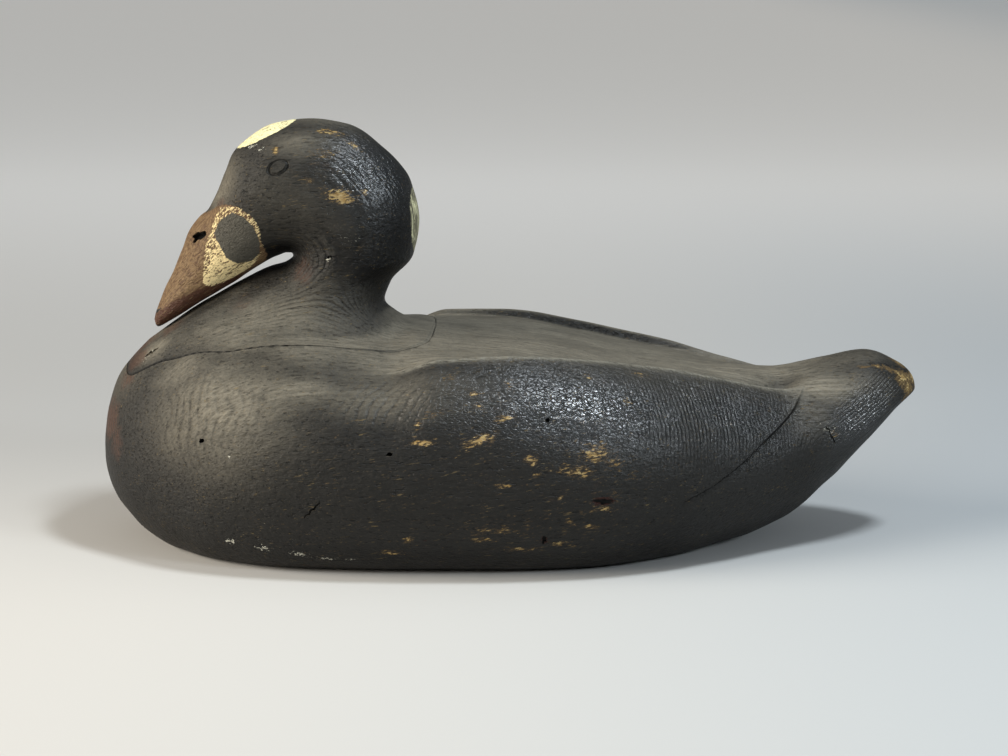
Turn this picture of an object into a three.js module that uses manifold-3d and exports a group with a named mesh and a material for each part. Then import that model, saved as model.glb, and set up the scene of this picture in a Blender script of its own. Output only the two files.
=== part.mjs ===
// Carved surf scoter decoy in two pieces of painted wood: a body block, and a block
// that carries head, bill, neck and breast top, let into a pocket in the body.
// Millimetres, +Z up, bill towards -X, tail towards +X, underside flat on z = 0.
import * as THREE from 'three';
import Module from 'manifold-3d';
import { mergeVertices } from 'three/addons/utils/BufferGeometryUtils.js';

// Driving dimensions of the body block
const BREAST_X = -217;            // foremost point of the breast
const TAIL_X = 217;               // tip of the tail
const RINGS_ALONG_BODY = 58;
const BACK_STEPS = 4;             // grid lines from the middle of the back to the wing
const WING_FACE_STEPS = 2;        // over the wing's inner face
const FLANK_STEPS = 7;            // from the wing ridge to the widest line
const BILGE_STEPS = 5;            // from the widest line to the flat bottom
const BOTTOM_STEPS = 2;

// Cross-sections of the body from breast to tail. Each is half an oval: halfWidth at
// widestAt above the ground, up to crown and down to under, flat for the half width flat.
// roundness is the exponent of the oval's upper half, 2 for an ellipse.
const BODY_SECTIONS = [
  { x: -217, halfWidth: 0, widestAt: 45, crown: 45, under: 45, flat: 0, roundness: 2 },
  { x: -213.6, halfWidth: 19, widestAt: 45, crown: 73.5, under: 28.5, flat: 0, roundness: 2 },
  { x: -206, halfWidth: 33, widestAt: 46, crown: 91.5, under: 15.5, flat: 0, roundness: 2 },
  { x: -194, halfWidth: 46, widestAt: 47, crown: 102.6, under: 6, flat: 12, roundness: 2 },
  { x: -175, halfWidth: 61, widestAt: 48, crown: 114, under: 0.6, flat: 30, roundness: 2 },
  { x: -150, halfWidth: 78, widestAt: 50, crown: 123.4, under: 0, flat: 50, roundness: 2 },
  { x: -110, halfWidth: 91, widestAt: 51, crown: 126, under: 0, flat: 63, roundness: 2.1 },
  { x: -62, halfWidth: 97, widestAt: 51, crown: 119, under: 0, flat: 66, roundness: 2.1 },
  { x: -35, halfWidth: 98, widestAt: 50.5, crown: 127.8, under: 0, flat: 66, roundness: 2.25 },
  { x: -5, halfWidth: 98, widestAt: 50, crown: 126.2, under: 0, flat: 66, roundness: 2.3 },
  { x: 40, halfWidth: 94, widestAt: 50, crown: 116.8, under: 0, flat: 61, roundness: 2.1 },
  { x: 85, halfWidth: 81, widestAt: 49, crown: 105.8, under: 0, flat: 38, roundness: 2 },
  { x: 120, halfWidth: 63, widestAt: 49, crown: 96, under: 1.5, flat: 9, roundness: 2 },
  { x: 145, halfWidth: 48, widestAt: 52, crown: 91.5, under: 9.2, flat: 0, roundness: 2 },
  { x: 168, halfWidth: 37, widestAt: 60, crown: 96.3, under: 28, flat: 0, roundness: 2 },
  { x: 190, halfWidth: 27.5, widestAt: 72, crown: 100.4, under: 51.6, flat: 0, roundness: 2 },
  { x: 206, halfWidth: 17, widestAt: 78, crown: 95, under: 69.6, flat: 0, roundness: 2 },
  { x: 214.2, halfWidth: 8, widestAt: 80, crown: 88.5, under: 76.5, flat: 0, roundness: 2 },
  { x: 217, halfWidth: 0, widestAt: 80.5, crown: 80.5, under: 80.5, flat: 0, roundness: 2 },
];

// The carved wings: share is where the upper edge of the wing runs, as a share of the
// half width, back the height of the middle of the back between the wings, and step how
// far the wing's edge stands above the foot of its inner face.
const WING_LINES = [
  { x: -217, share: 0.6, back: 45, step: 0 },
  { x: -150, share: 0.72, back: 118, step: 0 },
  { x: -100, share: 0.84, back: 122, step: 0 },
  { x: -62, share: 0.69, back: 115.5, step: 0 },
  { x: -35, share: 0.71, back: 112.8, step: 1.5 },
  { x: 0, share: 0.67, back: 109.5, step: 3.2 },
  { x: 40, share: 0.575, back: 104, step: 4.5 },
  { x: 60, share: 0.535, back: 100, step: 4.5 },
  { x: 85, share: 0.505, back: 96, step: 3.2 },
  { x: 110, share: 0.5, back: 92.5, step: 2 },
  { x: 140, share: 0.55, back: 91.2, step: 2 },
  { x: 170, share: 0.6, back: 98, step: 1.5 },
  { x: 217, share: 0.6, back: 80.5, step: 0 },
];
const WING_FACE_WIDTH = 7;        // width of the wing's inner face
const WING_FOOT_LEAST = 0.6;      // its foot stays beyond this share of the ridge's distance
const WING_START = [-75, -38];    // the inner face grows over this stretch of x
const WING_END = [140, 156];      // and ends over this one

// The wing's rear edge: how far down the side (0 at the ridge, 1 at the widest line,
// 2 at the bottom) and its x there. Behind it the surface lies lower, less and less.
const REAR_EDGE = [
  { down: 0, x: 153 },
  { down: 0.3, x: 147 },
  { down: 0.75, x: 126 },
  { down: 1.03, x: 105 },
  { down: 1.15, x: 84 },
];
const REAR_EDGE_DEPTH = 3.2;
const REAR_EDGE_RAMP = 1.6;       // width of the step itself
const REAR_EDGE_RECOVERY = 38;    // distance over which the surface comes back out
const REAR_EDGE_FADE = [0.55, 1.35]; // the step fades over this stretch down the side
const REAR_EDGE_REFERENCE = 121;  // grid lines bend from here to follow the edge
const REAR_EDGE_REACH = 88;
const RING_CLEARANCE = 2.5;       // other rings keep this far from the edge

// Plan of the inlet, from the rear end round the near side to the front end.
const INLET_PLAN = [
  { around: 0, x: -39.5, y: 0 },
  { around: 0.1, x: -40, y: 18 },
  { around: 0.18, x: -42, y: 34 },
  { around: 0.25, x: -48, y: 43.5 },
  { around: 0.34, x: -66, y: 50 },
  { around: 0.47, x: -105, y: 52 },
  { around: 0.6, x: -143, y: 48 },
  { around: 0.7, x: -165, y: 39.5 },
  { around: 0.79, x: -181, y: 31 },
  { around: 0.87, x: -192, y: 26 },
  { around: 0.93, x: -198.5, y: 21.5 },
  { around: 0.965, x: -201.8, y: 15 },
  { around: 1, x: -203.5, y: 0 },
];
const INLET_FLOOR = 72;
const INLET_GAP = 0.3;
const INLET_TOP = 240;            // the cutter for the pocket reaches above the body
const INLET_MIDDLE_X = -110;

// Rings of the head and neck block, from bill tip over the head and down to the inlet.
// Each ring joins an outer point (brow, crown, nape) to an inner one (jaw, throat, breast).
// lean moves its widest part towards the outer point, sag lowers its sides, and settle
// turns it from an oval into the plan of the inlet; each is left out where it is 0.
const HEAD_RINGS = [
  { outX: -188.6, outZ: 118.6, inX: -188.2, inZ: 116.4, halfWidth: 2, over: 2, under: 2 },
  { outX: -187.6, outZ: 122, inX: -186.2, inZ: 113.9, halfWidth: 8, lean: -0.1, over: 2, under: 2.2 },
  { outX: -183, outZ: 133, inX: -179.5, inZ: 117.4, halfWidth: 12, lean: -0.2, over: 1.9, under: 2.4 },
  { outX: -178, outZ: 143, inX: -171, inZ: 122.4, halfWidth: 14, lean: -0.25, over: 1.8, under: 2.4 },
  { outX: -172.7, outZ: 155, inX: -161, inZ: 128.6, halfWidth: 15, lean: -0.25, over: 1.8, under: 2.4 },
  { outX: -168.9, outZ: 164, inX: -152.5, inZ: 133.6, halfWidth: 16.5, lean: -0.2, over: 1.9, under: 2.3 },
  { outX: -162.3, outZ: 173, inX: -144.5, inZ: 138.2, halfWidth: 19, lean: -0.1, over: 2, under: 2.2 },
  { outX: -158.7, outZ: 175.6, inX: -140, inZ: 141.3, halfWidth: 21, lean: -0.05, over: 2, under: 2.1 },
  { outX: -154.2, outZ: 183.2, inX: -135.5, inZ: 144.3, halfWidth: 23.5, over: 2, under: 2.1 },
  { outX: -148.3, outZ: 196.6, inX: -128.5, inZ: 148.6, halfWidth: 27, over: 2, under: 2.1 },
  { outX: -144.8, outZ: 205.2, inX: -125, inZ: 150.6, halfWidth: 28.6, over: 2, under: 2.1 },
  { outX: -138.6, outZ: 211.6, inX: -121.4, inZ: 152.1, halfWidth: 29.8, over: 2, under: 2.1 },
  { outX: -122.8, outZ: 220.8, inX: -117.5, inZ: 153.4, halfWidth: 31, over: 2, under: 2.1 },
  { outX: -104, outZ: 223.3, inX: -115.2, inZ: 153.4, halfWidth: 31.5, over: 2, under: 2.1 },
  { outX: -85, outZ: 220.6, inX: -114.4, inZ: 153, halfWidth: 31.5, over: 1.95, under: 2.1 },
  { outX: -66.1, outZ: 208.4, inX: -114.1, inZ: 152.4, halfWidth: 31, over: 1.9, under: 2.1 },
  { outX: -51.5, outZ: 190, inX: -114.2, inZ: 151.7, halfWidth: 30.5, over: 1.85, under: 2.1 },
  { outX: -47.5, outZ: 171.5, inX: -114.6, inZ: 151, halfWidth: 30, over: 1.85, under: 2.1 },
  { outX: -50.7, outZ: 152.6, inX: -115.3, inZ: 150.2, halfWidth: 29.5, over: 1.9, under: 2.1 },
  { outX: -62.7, outZ: 138, inX: -116.5, inZ: 149.2, halfWidth: 29.5, over: 2, under: 2.1 },
  { outX: -66.4, outZ: 127.8, inX: -119, inZ: 147.6, halfWidth: 31, over: 2.1, under: 2, sag: -2 },
  { outX: -61, outZ: 121, inX: -127, inZ: 145.2, halfWidth: 36, over: 2.1, under: 2, sag: -7, settle: 0.15 },
  { outX: -52, outZ: 116.3, inX: -145, inZ: 136.6, halfWidth: 43, over: 2.1, under: 2, sag: -10, settle: 0.45 },
  { outX: -45, outZ: 114.7, inX: -170, inZ: 122.2, halfWidth: 48.5, over: 2.1, under: 2, sag: -5, settle: 0.8 },
  { outX: -41, outZ: 114, inX: -192, inZ: 106.5, halfWidth: 51.5, over: 2.1, under: 2, sag: 1.5, settle: 0.95 },
];
const BILL_TIP = { x: -189, z: 117.4 };

// Carving on the head, at its place on the right side and mirrored to the left. outward is
// the direction in which the head's side faces there.
const EYE = {
  x: -118.1, y: 28.4, z: 201.3, length: 10.5, height: 7, tilt: 30, groove: 1.1,
  outward: [-0.12, 0.92, 0.38],
};
const NOSTRIL = {
  x: -162.5, y: 12, z: 163.4, length: 10, height: 5.4, depth: 3, tilt: 12,
  outward: [-0.62, 0.7, 0.35],
};

const RINGS_OVER_HEAD = 50;
const STEPS_AROUND_HEAD = 36;
const GROOVE_SIDES = 6;           // sides of the eye's groove in section
const GROOVE_STEPS = 18;          // and steps round the eye
const HOLLOW_STEPS = 12;
const HOLLOW_RINGS = 8;
const MERGE_DISTANCE = 1e-4;      // vertices closer than this are one

// Colours of the old paint on the bare solids
const BODY_PAINT = { color: 0x25221f, roughness: 0.5, metalness: 0 };
const HEAD_PAINT = { color: 0x2c2823, roughness: 0.55, metalness: 0 };

const wasm = await Module();
wasm.setup();

const clamp01 = (value) => Math.min(1, Math.max(0, value));
const smoothstep = (from, to, value) => {
  const share = clamp01((value - from) / (to - from));
  return share * share * (3 - 2 * share);
};
const mix = (a, b, share) => a + (b - a) * share;
const power = (value, exponent) => Math.max(0, value) ** exponent;

// A smooth curve through the knots that never overshoots them: cubic pieces whose slope
// at a knot is the weighted harmonic mean of its neighbours' slopes.
function smoothCurve(knots, values) {
  const last = knots.length - 1;
  const slopes = knots.slice(1).map((knot, i) => (values[i + 1] - values[i]) / (knot - knots[i]));
  const tangents = values.map((_, i) => {
    if (i === 0) return slopes[0];
    if (i === last) return slopes[last - 1];
    if (slopes[i - 1] * slopes[i] <= 0) return 0;
    const before = knots[i] - knots[i - 1];
    const after = knots[i + 1] - knots[i];
    const weightBefore = 2 * after + before;
    const weightAfter = after + 2 * before;
    return (weightBefore + weightAfter) / (weightBefore / slopes[i - 1] + weightAfter / slopes[i]);
  });
  return (at) => {
    const inside = Math.min(Math.max(at, knots[0]), knots[last]);
    let i = 0;
    while (i < last - 1 && inside > knots[i + 1]) i += 1;
    const span = knots[i + 1] - knots[i];
    const t = (inside - knots[i]) / span;
    const rest = 1 - t;
    return values[i] * (1 + 2 * t) * rest * rest + tangents[i] * span * t * rest * rest
      + values[i + 1] * t * t * (3 - 2 * t) - tangents[i + 1] * span * t * t * rest;
  };
}

// Turns a table of named values into one smooth curve for each name.
function smoothTable(rows, knotOf) {
  const knots = rows.map(knotOf);
  const names = [...new Set(rows.flatMap((row) => Object.keys(row)))];
  return Object.fromEntries(names.map((name) => [
    name, smoothCurve(knots, rows.map((row) => row[name] ?? 0)),
  ]));
}

// Along the body, x is read through an angle, so that both ends close as round noses.
const bodyMiddle = (BREAST_X + TAIL_X) / 2;
const bodyReach = (TAIL_X - BREAST_X) / 2;
const angleAt = (x) => Math.acos(Math.min(1, Math.max(-1, (bodyMiddle - x) / bodyReach)));
const bodyCurves = smoothTable(BODY_SECTIONS, (row) => angleAt(row.x));
const wingCurves = smoothTable(WING_LINES, (row) => angleAt(row.x));
const rearEdgeX = smoothTable(REAR_EDGE, (row) => row.down).x;

// Height of the plain oval of a section at the distance y from the middle.
function ovalHeight(section, y) {
  const share = power(1 - power(Math.abs(y) / section.halfWidth, section.roundness), 1 / section.roundness);
  return section.widestAt + (section.crown - section.widestAt) * share;
}

function sectionAt(x) {
  const angle = angleAt(x);
  const section = { x };
  for (const name of ['halfWidth', 'widestAt', 'crown', 'under', 'flat', 'roundness']) {
    section[name] = bodyCurves[name](angle);
  }
  section.ridge = section.halfWidth * wingCurves.share(angle);
  section.foot = Math.max(section.ridge * WING_FOOT_LEAST, section.ridge - WING_FACE_WIDTH);
  section.back = wingCurves.back(angle);
  section.step = wingCurves.step(angle);
  section.winged = smoothstep(...WING_START, x) * (1 - smoothstep(...WING_END, x));
  return section;
}

// Height of the body's top side: the oval, hollowed between the wings down to the back.
function topHeight(section, y) {
  const oval = ovalHeight(section, y);
  const distance = Math.abs(y);
  if (section.winged === 0 || distance >= section.ridge) return oval;
  const footHeight = ovalHeight(section, section.ridge) - section.step;
  const across = distance / section.foot;
  const hollow = section.back + (footHeight - section.back) * across * across;
  const depth = smoothstep(section.ridge, section.foot, distance);
  return mix(oval, hollow, section.winged * depth);
}

// How far down the side a grid line lies: below 0 on the back, 0 at the ridge, 1 at the
// widest line, 2 where the flat bottom starts, 3 in the middle of the bottom.
const GRID_LINES_DOWN = [
  ...Array.from({ length: BACK_STEPS }, (_, i) => -2 + i / BACK_STEPS),
  ...Array.from({ length: WING_FACE_STEPS }, (_, i) => -1 + i / WING_FACE_STEPS),
  ...Array.from({ length: FLANK_STEPS }, (_, i) => i / FLANK_STEPS),
  ...Array.from({ length: BILGE_STEPS }, (_, i) => 1 + i / BILGE_STEPS),
  ...Array.from({ length: BOTTOM_STEPS + 1 }, (_, i) => 2 + i / BOTTOM_STEPS),
];

// The point of the body's right half at the section x and the grid line down.
function bodyPoint(x, down) {
  const section = sectionAt(x);
  const { halfWidth, widestAt, under, flat, roundness } = section;
  let y;
  let z;
  if (down <= 0) {
    y = down < -1 ? section.foot * (down + 2) : mix(section.foot, section.ridge, down + 1);
    z = topHeight(section, y);
  } else if (down <= 1) {
    const start = Math.asin(power(section.ridge / Math.max(halfWidth, 1e-6), roundness / 2));
    const turn = mix(start, Math.PI / 2, down);
    y = halfWidth * power(Math.sin(turn), 2 / roundness);
    z = widestAt + (section.crown - widestAt) * power(Math.cos(turn), 2 / roundness);
  } else if (down <= 2) {
    const turn = (down - 1) * Math.PI / 2;
    y = flat + (halfWidth - flat) * Math.cos(turn);
    z = widestAt - (widestAt - under) * Math.sin(turn);
  } else {
    y = flat * (3 - down);
    z = under;
  }
  return { y, z, section };
}

// Depth of the step behind the wing's rear edge.
function rearStep(x, down) {
  const behind = x - rearEdgeX(down);
  const drop = smoothstep(0, REAR_EDGE_RAMP, behind) * (1 - smoothstep(0, REAR_EDGE_RECOVERY, behind));
  const fade = (1 - smoothstep(...REAR_EDGE_FADE, down)) * smoothstep(-1, 0, down);
  return REAR_EDGE_DEPTH * drop * fade;
}

// Grid line number i of the body, bent near the tail so that one follows the rear edge.
function gridX(x, down) {
  const shift = rearEdgeX(down) - REAR_EDGE_REFERENCE;
  const distance = Math.abs(x - REAR_EDGE_REFERENCE) / REAR_EDGE_REACH;
  return x + shift * (1 - smoothstep(0, 1, distance));
}

function bodyVertex(x, down, side) {
  const bent = gridX(x, down);
  const { y, z, section } = bodyPoint(bent, down);
  const inward = new THREE.Vector2(y, z - section.widestAt).normalize().multiplyScalar(rearStep(bent, down));
  return new THREE.Vector3(bent, side * (y - inward.x), z - inward.y);
}

// Section positions along the body: even in angle, with a close pair at the rear edge.
function bodyRingPositions() {
  const even = Array.from({ length: RINGS_ALONG_BODY }, (_, i) => {
    const angle = Math.PI * (i + 1) / (RINGS_ALONG_BODY + 1);
    return bodyMiddle - bodyReach * Math.cos(angle);
  });
  const pair = [REAR_EDGE_REFERENCE, REAR_EDGE_REFERENCE + REAR_EDGE_RAMP];
  const clear = even.filter((x) => pair.every((edge) => Math.abs(x - edge) > RING_CLEARANCE));
  return [...clear, ...pair].sort((a, b) => a - b);
}

// Builds a closed skin from rings of equal length, closed by a point at each end.
function skin(firstPoint, rings, lastPoint) {
  const positions = [firstPoint, ...rings.flat(), lastPoint].flatMap((p) => [p.x, p.y, p.z]);
  const around = rings[0].length;
  const index = [];
  const at = (ring, step) => 1 + ring * around + (step % around);
  const end = 1 + rings.length * around;
  for (let step = 0; step < around; step += 1) {
    index.push(0, at(0, step), at(0, step + 1));
    for (let ring = 0; ring + 1 < rings.length; ring += 1) {
      index.push(at(ring, step + 1), at(ring, step), at(ring + 1, step));
      index.push(at(ring + 1, step + 1), at(ring, step + 1), at(ring + 1, step));
    }
    index.push(end, at(rings.length - 1, step + 1), at(rings.length - 1, step));
  }
  const geometry = new THREE.BufferGeometry();
  geometry.setAttribute('position', new THREE.Float32BufferAttribute(positions, 3));
  geometry.setIndex(index);
  return geometry;
}

function toSolid(geometry) {
  const bare = geometry.clone();
  bare.deleteAttribute('normal');
  bare.deleteAttribute('uv');
  const merged = mergeVertices(bare, MERGE_DISTANCE);
  return new wasm.Manifold(new wasm.Mesh({
    numProp: 3,
    vertProperties: new Float32Array(merged.attributes.position.array),
    triVerts: new Uint32Array(merged.index.array),
  }));
}

function toGeometry(solid) {
  const mesh = solid.getMesh();
  const geometry = new THREE.BufferGeometry();
  geometry.setAttribute('position', new THREE.BufferAttribute(new Float32Array(mesh.vertProperties), 3));
  geometry.setIndex(new THREE.BufferAttribute(new Uint32Array(mesh.triVerts), 1));
  return geometry;
}

function bodyGeometry() {
  const rings = bodyRingPositions().map((x) => {
    const right = GRID_LINES_DOWN.map((down) => bodyVertex(x, down, 1));
    const left = GRID_LINES_DOWN.slice(1, -1).reverse().map((down) => bodyVertex(x, down, -1));
    return [...right, ...left];
  });
  const breast = new THREE.Vector3(BREAST_X, 0, BODY_SECTIONS[0].widestAt);
  const tail = new THREE.Vector3(TAIL_X, 0, BODY_SECTIONS[BODY_SECTIONS.length - 1].widestAt);
  return skin(breast, rings, tail);
}

const inletCurves = smoothTable(INLET_PLAN, (row) => row.around);

// Plan of the inlet as points once round, starting at the rear, grown outward by a margin.
function inletPlan(margin) {
  const half = STEPS_AROUND_HEAD / 2;
  const point = (step) => {
    const around = Math.abs(step <= half ? step / half : 2 - step / half);
    const side = step <= half ? 1 : -1;
    return new THREE.Vector2(inletCurves.x(around), side * inletCurves.y(around));
  };
  return Array.from({ length: STEPS_AROUND_HEAD }, (_, step) => {
    const here = point(step);
    const before = point((step + STEPS_AROUND_HEAD - 1) % STEPS_AROUND_HEAD);
    const after = point((step + 1) % STEPS_AROUND_HEAD);
    const along = after.clone().sub(before).normalize();
    return here.add(new THREE.Vector2(along.y, -along.x).multiplyScalar(margin));
  });
}

function inletCutter() {
  const shape = new THREE.Shape(inletPlan(INLET_GAP));
  const geometry = new THREE.ExtrudeGeometry(shape, {
    depth: INLET_TOP - INLET_FLOOR, bevelEnabled: false,
  });
  return geometry.translate(0, 0, INLET_FLOOR);
}

// Rings of the head and neck block, read at the share t of the way from bill to inlet.
function headKnots() {
  const knots = [0];
  for (let i = 1; i < HEAD_RINGS.length; i += 1) {
    const a = HEAD_RINGS[i - 1];
    const b = HEAD_RINGS[i];
    const outer = Math.hypot(b.outX - a.outX, b.outZ - a.outZ);
    const inner = Math.hypot(b.inX - a.inX, b.inZ - a.inZ);
    knots.push(knots[i - 1] + (outer + inner) / 2 + Math.abs(b.halfWidth - a.halfWidth));
  }
  return knots.map((knot) => knot / knots[knots.length - 1]);
}
const headKnotList = headKnots();
const headCurves = smoothTable(HEAD_RINGS, (row) => headKnotList[HEAD_RINGS.indexOf(row)]);

function headRing(t) {
  const ring = {};
  for (const name of Object.keys(headCurves)) ring[name] = headCurves[name](t);
  const inletLength = INLET_PLAN[0].x - INLET_PLAN[INLET_PLAN.length - 1].x;
  const widest = Math.max(...INLET_PLAN.map((row) => row.y));
  const half = STEPS_AROUND_HEAD / 2;
  const outProud = ring.outZ - topHeight(sectionAt(ring.outX), 0);
  const inProud = ring.inZ - topHeight(sectionAt(ring.inX), 0);
  return Array.from({ length: STEPS_AROUND_HEAD }, (_, step) => {
    const around = step <= half ? step / half : 2 - step / half;
    const side = step <= half ? 1 : -1;
    const turn = around * Math.PI;
    const exponent = 2 / (turn < Math.PI / 2 ? ring.over : ring.under);
    const cosine = Math.sign(Math.cos(turn)) * power(Math.abs(Math.cos(turn)), exponent);
    const ovalAlong = (1 - cosine) / 2 - ring.lean * (1 - cosine * cosine) / 2;
    const ovalAcross = power(Math.sin(turn), exponent);
    const planAlong = (INLET_PLAN[0].x - inletCurves.x(around)) / inletLength;
    const planAcross = inletCurves.y(around) / widest;
    const along = mix(ovalAlong, planAlong, ring.settle);
    const across = mix(ovalAcross, planAcross, ring.settle);
    const x = mix(ring.outX, ring.inX, along);
    const y = side * ring.halfWidth * across;
    const ovalZ = mix(ring.outZ, ring.inZ, along) + ring.sag * across * across;
    const proud = mix(outProud, inProud, along) * (1 - across * across);
    const settledZ = topHeight(sectionAt(x), y) + proud;
    return new THREE.Vector3(x, y, mix(ovalZ, settledZ, ring.settle));
  });
}

function headGeometry() {
  const rings = Array.from({ length: RINGS_OVER_HEAD }, (_, i) => headRing(i / (RINGS_OVER_HEAD - 1)));
  const plan = inletPlan(0);
  const seam = plan.map((p) => new THREE.Vector3(p.x, p.y, topHeight(sectionAt(p.x), p.y)));
  const base = plan.map((p) => new THREE.Vector3(p.x, p.y, INLET_FLOOR + INLET_GAP));
  const tip = new THREE.Vector3(BILL_TIP.x, 0, BILL_TIP.z);
  const middle = new THREE.Vector3(INLET_MIDDLE_X, 0, INLET_FLOOR + INLET_GAP);
  return skin(tip, [...rings, seam, base], middle);
}

// Turns a cutter that lies in the XY plane so that its Z axis points out of the head's
// side and its X axis runs along the head, raised towards the tail by the tilt.
function onHeadSide(geometry, place, side) {
  const out = new THREE.Vector3(...place.outward).multiply(new THREE.Vector3(1, side, 1)).normalize();
  const tilt = THREE.MathUtils.degToRad(place.tilt);
  const along = new THREE.Vector3(Math.cos(tilt), 0, Math.sin(tilt));
  along.addScaledVector(out, -along.dot(out)).normalize();
  const turn = new THREE.Matrix4().makeBasis(along, out.clone().cross(along), out);
  turn.setPosition(place.x, side * place.y, place.z);
  return geometry.applyMatrix4(turn);
}

function eyeCutter(side) {
  const groove = new THREE.TorusGeometry(EYE.length / 2, EYE.groove, GROOVE_SIDES, GROOVE_STEPS);
  groove.scale(1, EYE.height / EYE.length, 1);
  return onHeadSide(groove, EYE, side);
}

function nostrilCutter(side) {
  const hollow = new THREE.SphereGeometry(1, HOLLOW_STEPS, HOLLOW_RINGS);
  hollow.scale(NOSTRIL.length / 2, NOSTRIL.height / 2, NOSTRIL.depth);
  return onHeadSide(hollow, NOSTRIL, side);
}

function headAndNeck() {
  let solid = toSolid(headGeometry());
  for (const side of [-1, 1]) {
    solid = solid.subtract(toSolid(eyeCutter(side))).subtract(toSolid(nostrilCutter(side)));
  }
  return solid;
}

function namedMesh(name, geometry, paint) {
  const mesh = new THREE.Mesh(geometry, new THREE.MeshStandardMaterial(paint));
  mesh.name = name;
  return mesh;
}

const decoy = new THREE.Group();
const body = toSolid(bodyGeometry()).subtract(toSolid(inletCutter()));
decoy.add(namedMesh('body', toGeometry(body), BODY_PAINT));
decoy.add(namedMesh('head_and_neck', toGeometry(headAndNeck()), HEAD_PAINT));

export default decoy;
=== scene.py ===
"""Carved scoter decoy: the finished surfaces of its two blocks of painted wood.

The frame gives the plain solids. Each block is worked out again here as a fine surface of
the same form, with its small carving, cracks and worm holes cut in, and then dressed in old
black paint worn back to the wood. Sizes are millimetres, +Z up, bill towards -X and tail
towards +X. The side towards -Y is the near side. Meshes are made in metres.
"""

import logging
import math
from collections.abc import Sequence
from dataclasses import astuple, dataclass, field, fields, replace
from enum import Enum

import bmesh
import bpy
import numpy as np
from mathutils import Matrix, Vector


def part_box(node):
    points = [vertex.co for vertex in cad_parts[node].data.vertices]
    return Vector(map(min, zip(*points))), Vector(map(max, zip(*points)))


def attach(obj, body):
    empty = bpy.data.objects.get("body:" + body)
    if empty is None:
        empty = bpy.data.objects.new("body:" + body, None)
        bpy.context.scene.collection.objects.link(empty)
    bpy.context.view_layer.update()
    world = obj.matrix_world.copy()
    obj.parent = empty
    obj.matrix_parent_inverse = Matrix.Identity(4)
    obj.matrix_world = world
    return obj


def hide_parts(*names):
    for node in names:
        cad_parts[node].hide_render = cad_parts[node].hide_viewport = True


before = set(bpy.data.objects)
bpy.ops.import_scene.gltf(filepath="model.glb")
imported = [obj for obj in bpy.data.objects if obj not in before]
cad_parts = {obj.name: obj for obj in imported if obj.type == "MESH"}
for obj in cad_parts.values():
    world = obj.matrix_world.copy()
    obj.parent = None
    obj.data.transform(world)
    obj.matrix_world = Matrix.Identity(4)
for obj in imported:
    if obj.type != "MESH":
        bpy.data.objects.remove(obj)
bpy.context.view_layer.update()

LOG = logging.getLogger("decoy")
METRES = 0.001  # metres in a millimetre
TINY = 1e-6  # keeps a division away from zero
OUTSIDE = 100  # distance that stands for well outside a painted patch

Array = np.ndarray
Colour = tuple[float, float, float, float]
Place = tuple[float, float, float]
Span = tuple[float, float]
Socket = bpy.types.NodeSocket


class Side(Enum):
    """The two sides of the decoy, by the sign of Y."""

    NEAR = -1
    FAR = 1


def ease(start: float, end: float, value: Array) -> Array:
    """Eases from 0 at start to 1 at end.

    Args:
        start: value that gives 0.
        end: value that gives 1.
        value: numbers to ease.

    Returns:
        s * s * (3 - 2 * s), where s is the share of the way from start to end.
    """
    share = np.clip((value - start) / (end - start), 0, 1)
    return share * share * (3 - 2 * share)


def mix(first: Array, second: Array, share: Array) -> Array:
    """Goes from first to second by the share."""
    return first + (second - first) * share


def power(value: Array, exponent: Array) -> Array:
    """Raises to a power, with numbers below zero taken as zero."""
    return np.maximum(value, 0) ** exponent


def unit(vectors: Array) -> Array:
    """Brings vectors to a length of 1."""
    return vectors / np.linalg.norm(vectors, axis=-1, keepdims=True)


def whole_turn(steps: int) -> Array:
    """Angles of evenly spaced steps once round."""
    return np.arange(steps) / steps * 2 * math.pi


def tint(red: int, green: int, blue: int) -> Colour:
    """Turns a colour as seen on a screen, 0 to 255, into the shader's linear colour.

    Args:
        red: red share.
        green: green share.
        blue: blue share.

    Returns:
        The linear colour with full opacity.
    """
    shares = np.array([red, green, blue]) / 255
    linear = np.where(shares <= 0.04045, shares / 12.92, ((shares + 0.055) / 1.055) ** 2.4)
    return (float(linear[0]), float(linear[1]), float(linear[2]), 1.0)


class SmoothCurve:
    """A curve of cubic pieces through knots that never overshoots them."""

    def __init__(self, knots: Sequence[float], values: Sequence[float]) -> None:
        """Works out the slope at each knot as a weighted harmonic mean of its neighbours.

        Args:
            knots: rising places of the knots.
            values: the curve's value at each knot.
        """
        self.knots = np.asarray(knots, float)
        self.values = np.asarray(values, float)
        spans = np.diff(self.knots)
        slopes = np.diff(self.values) / spans
        before, after = slopes[:-1], slopes[1:]
        weight_before = 2 * spans[1:] + spans[:-1]
        weight_after = spans[1:] + 2 * spans[:-1]
        turning = before * after <= 0
        safe_before = np.where(turning, 1, before)
        safe_after = np.where(turning, 1, after)
        harmonic = (weight_before + weight_after) / (
            weight_before / safe_before + weight_after / safe_after
        )
        inner = np.where(turning, 0, harmonic)
        self.tangents = np.concatenate([slopes[:1], inner, slopes[-1:]])

    def __call__(self, at: Array) -> Array:
        """Reads the curve, held at its end values outside the knots.

        Args:
            at: places to read.

        Returns:
            The curve's values there.
        """
        inside = np.clip(at, self.knots[0], self.knots[-1])
        piece = np.clip(np.searchsorted(self.knots, inside) - 1, 0, len(self.knots) - 2)
        span = self.knots[piece + 1] - self.knots[piece]
        share = (inside - self.knots[piece]) / span
        rest = 1 - share
        return (
            self.values[piece] * (1 + 2 * share) * rest**2
            + self.tangents[piece] * span * share * rest**2
            + self.values[piece + 1] * share**2 * (3 - 2 * share)
            - self.tangents[piece + 1] * span * share**2 * rest
        )


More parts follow.
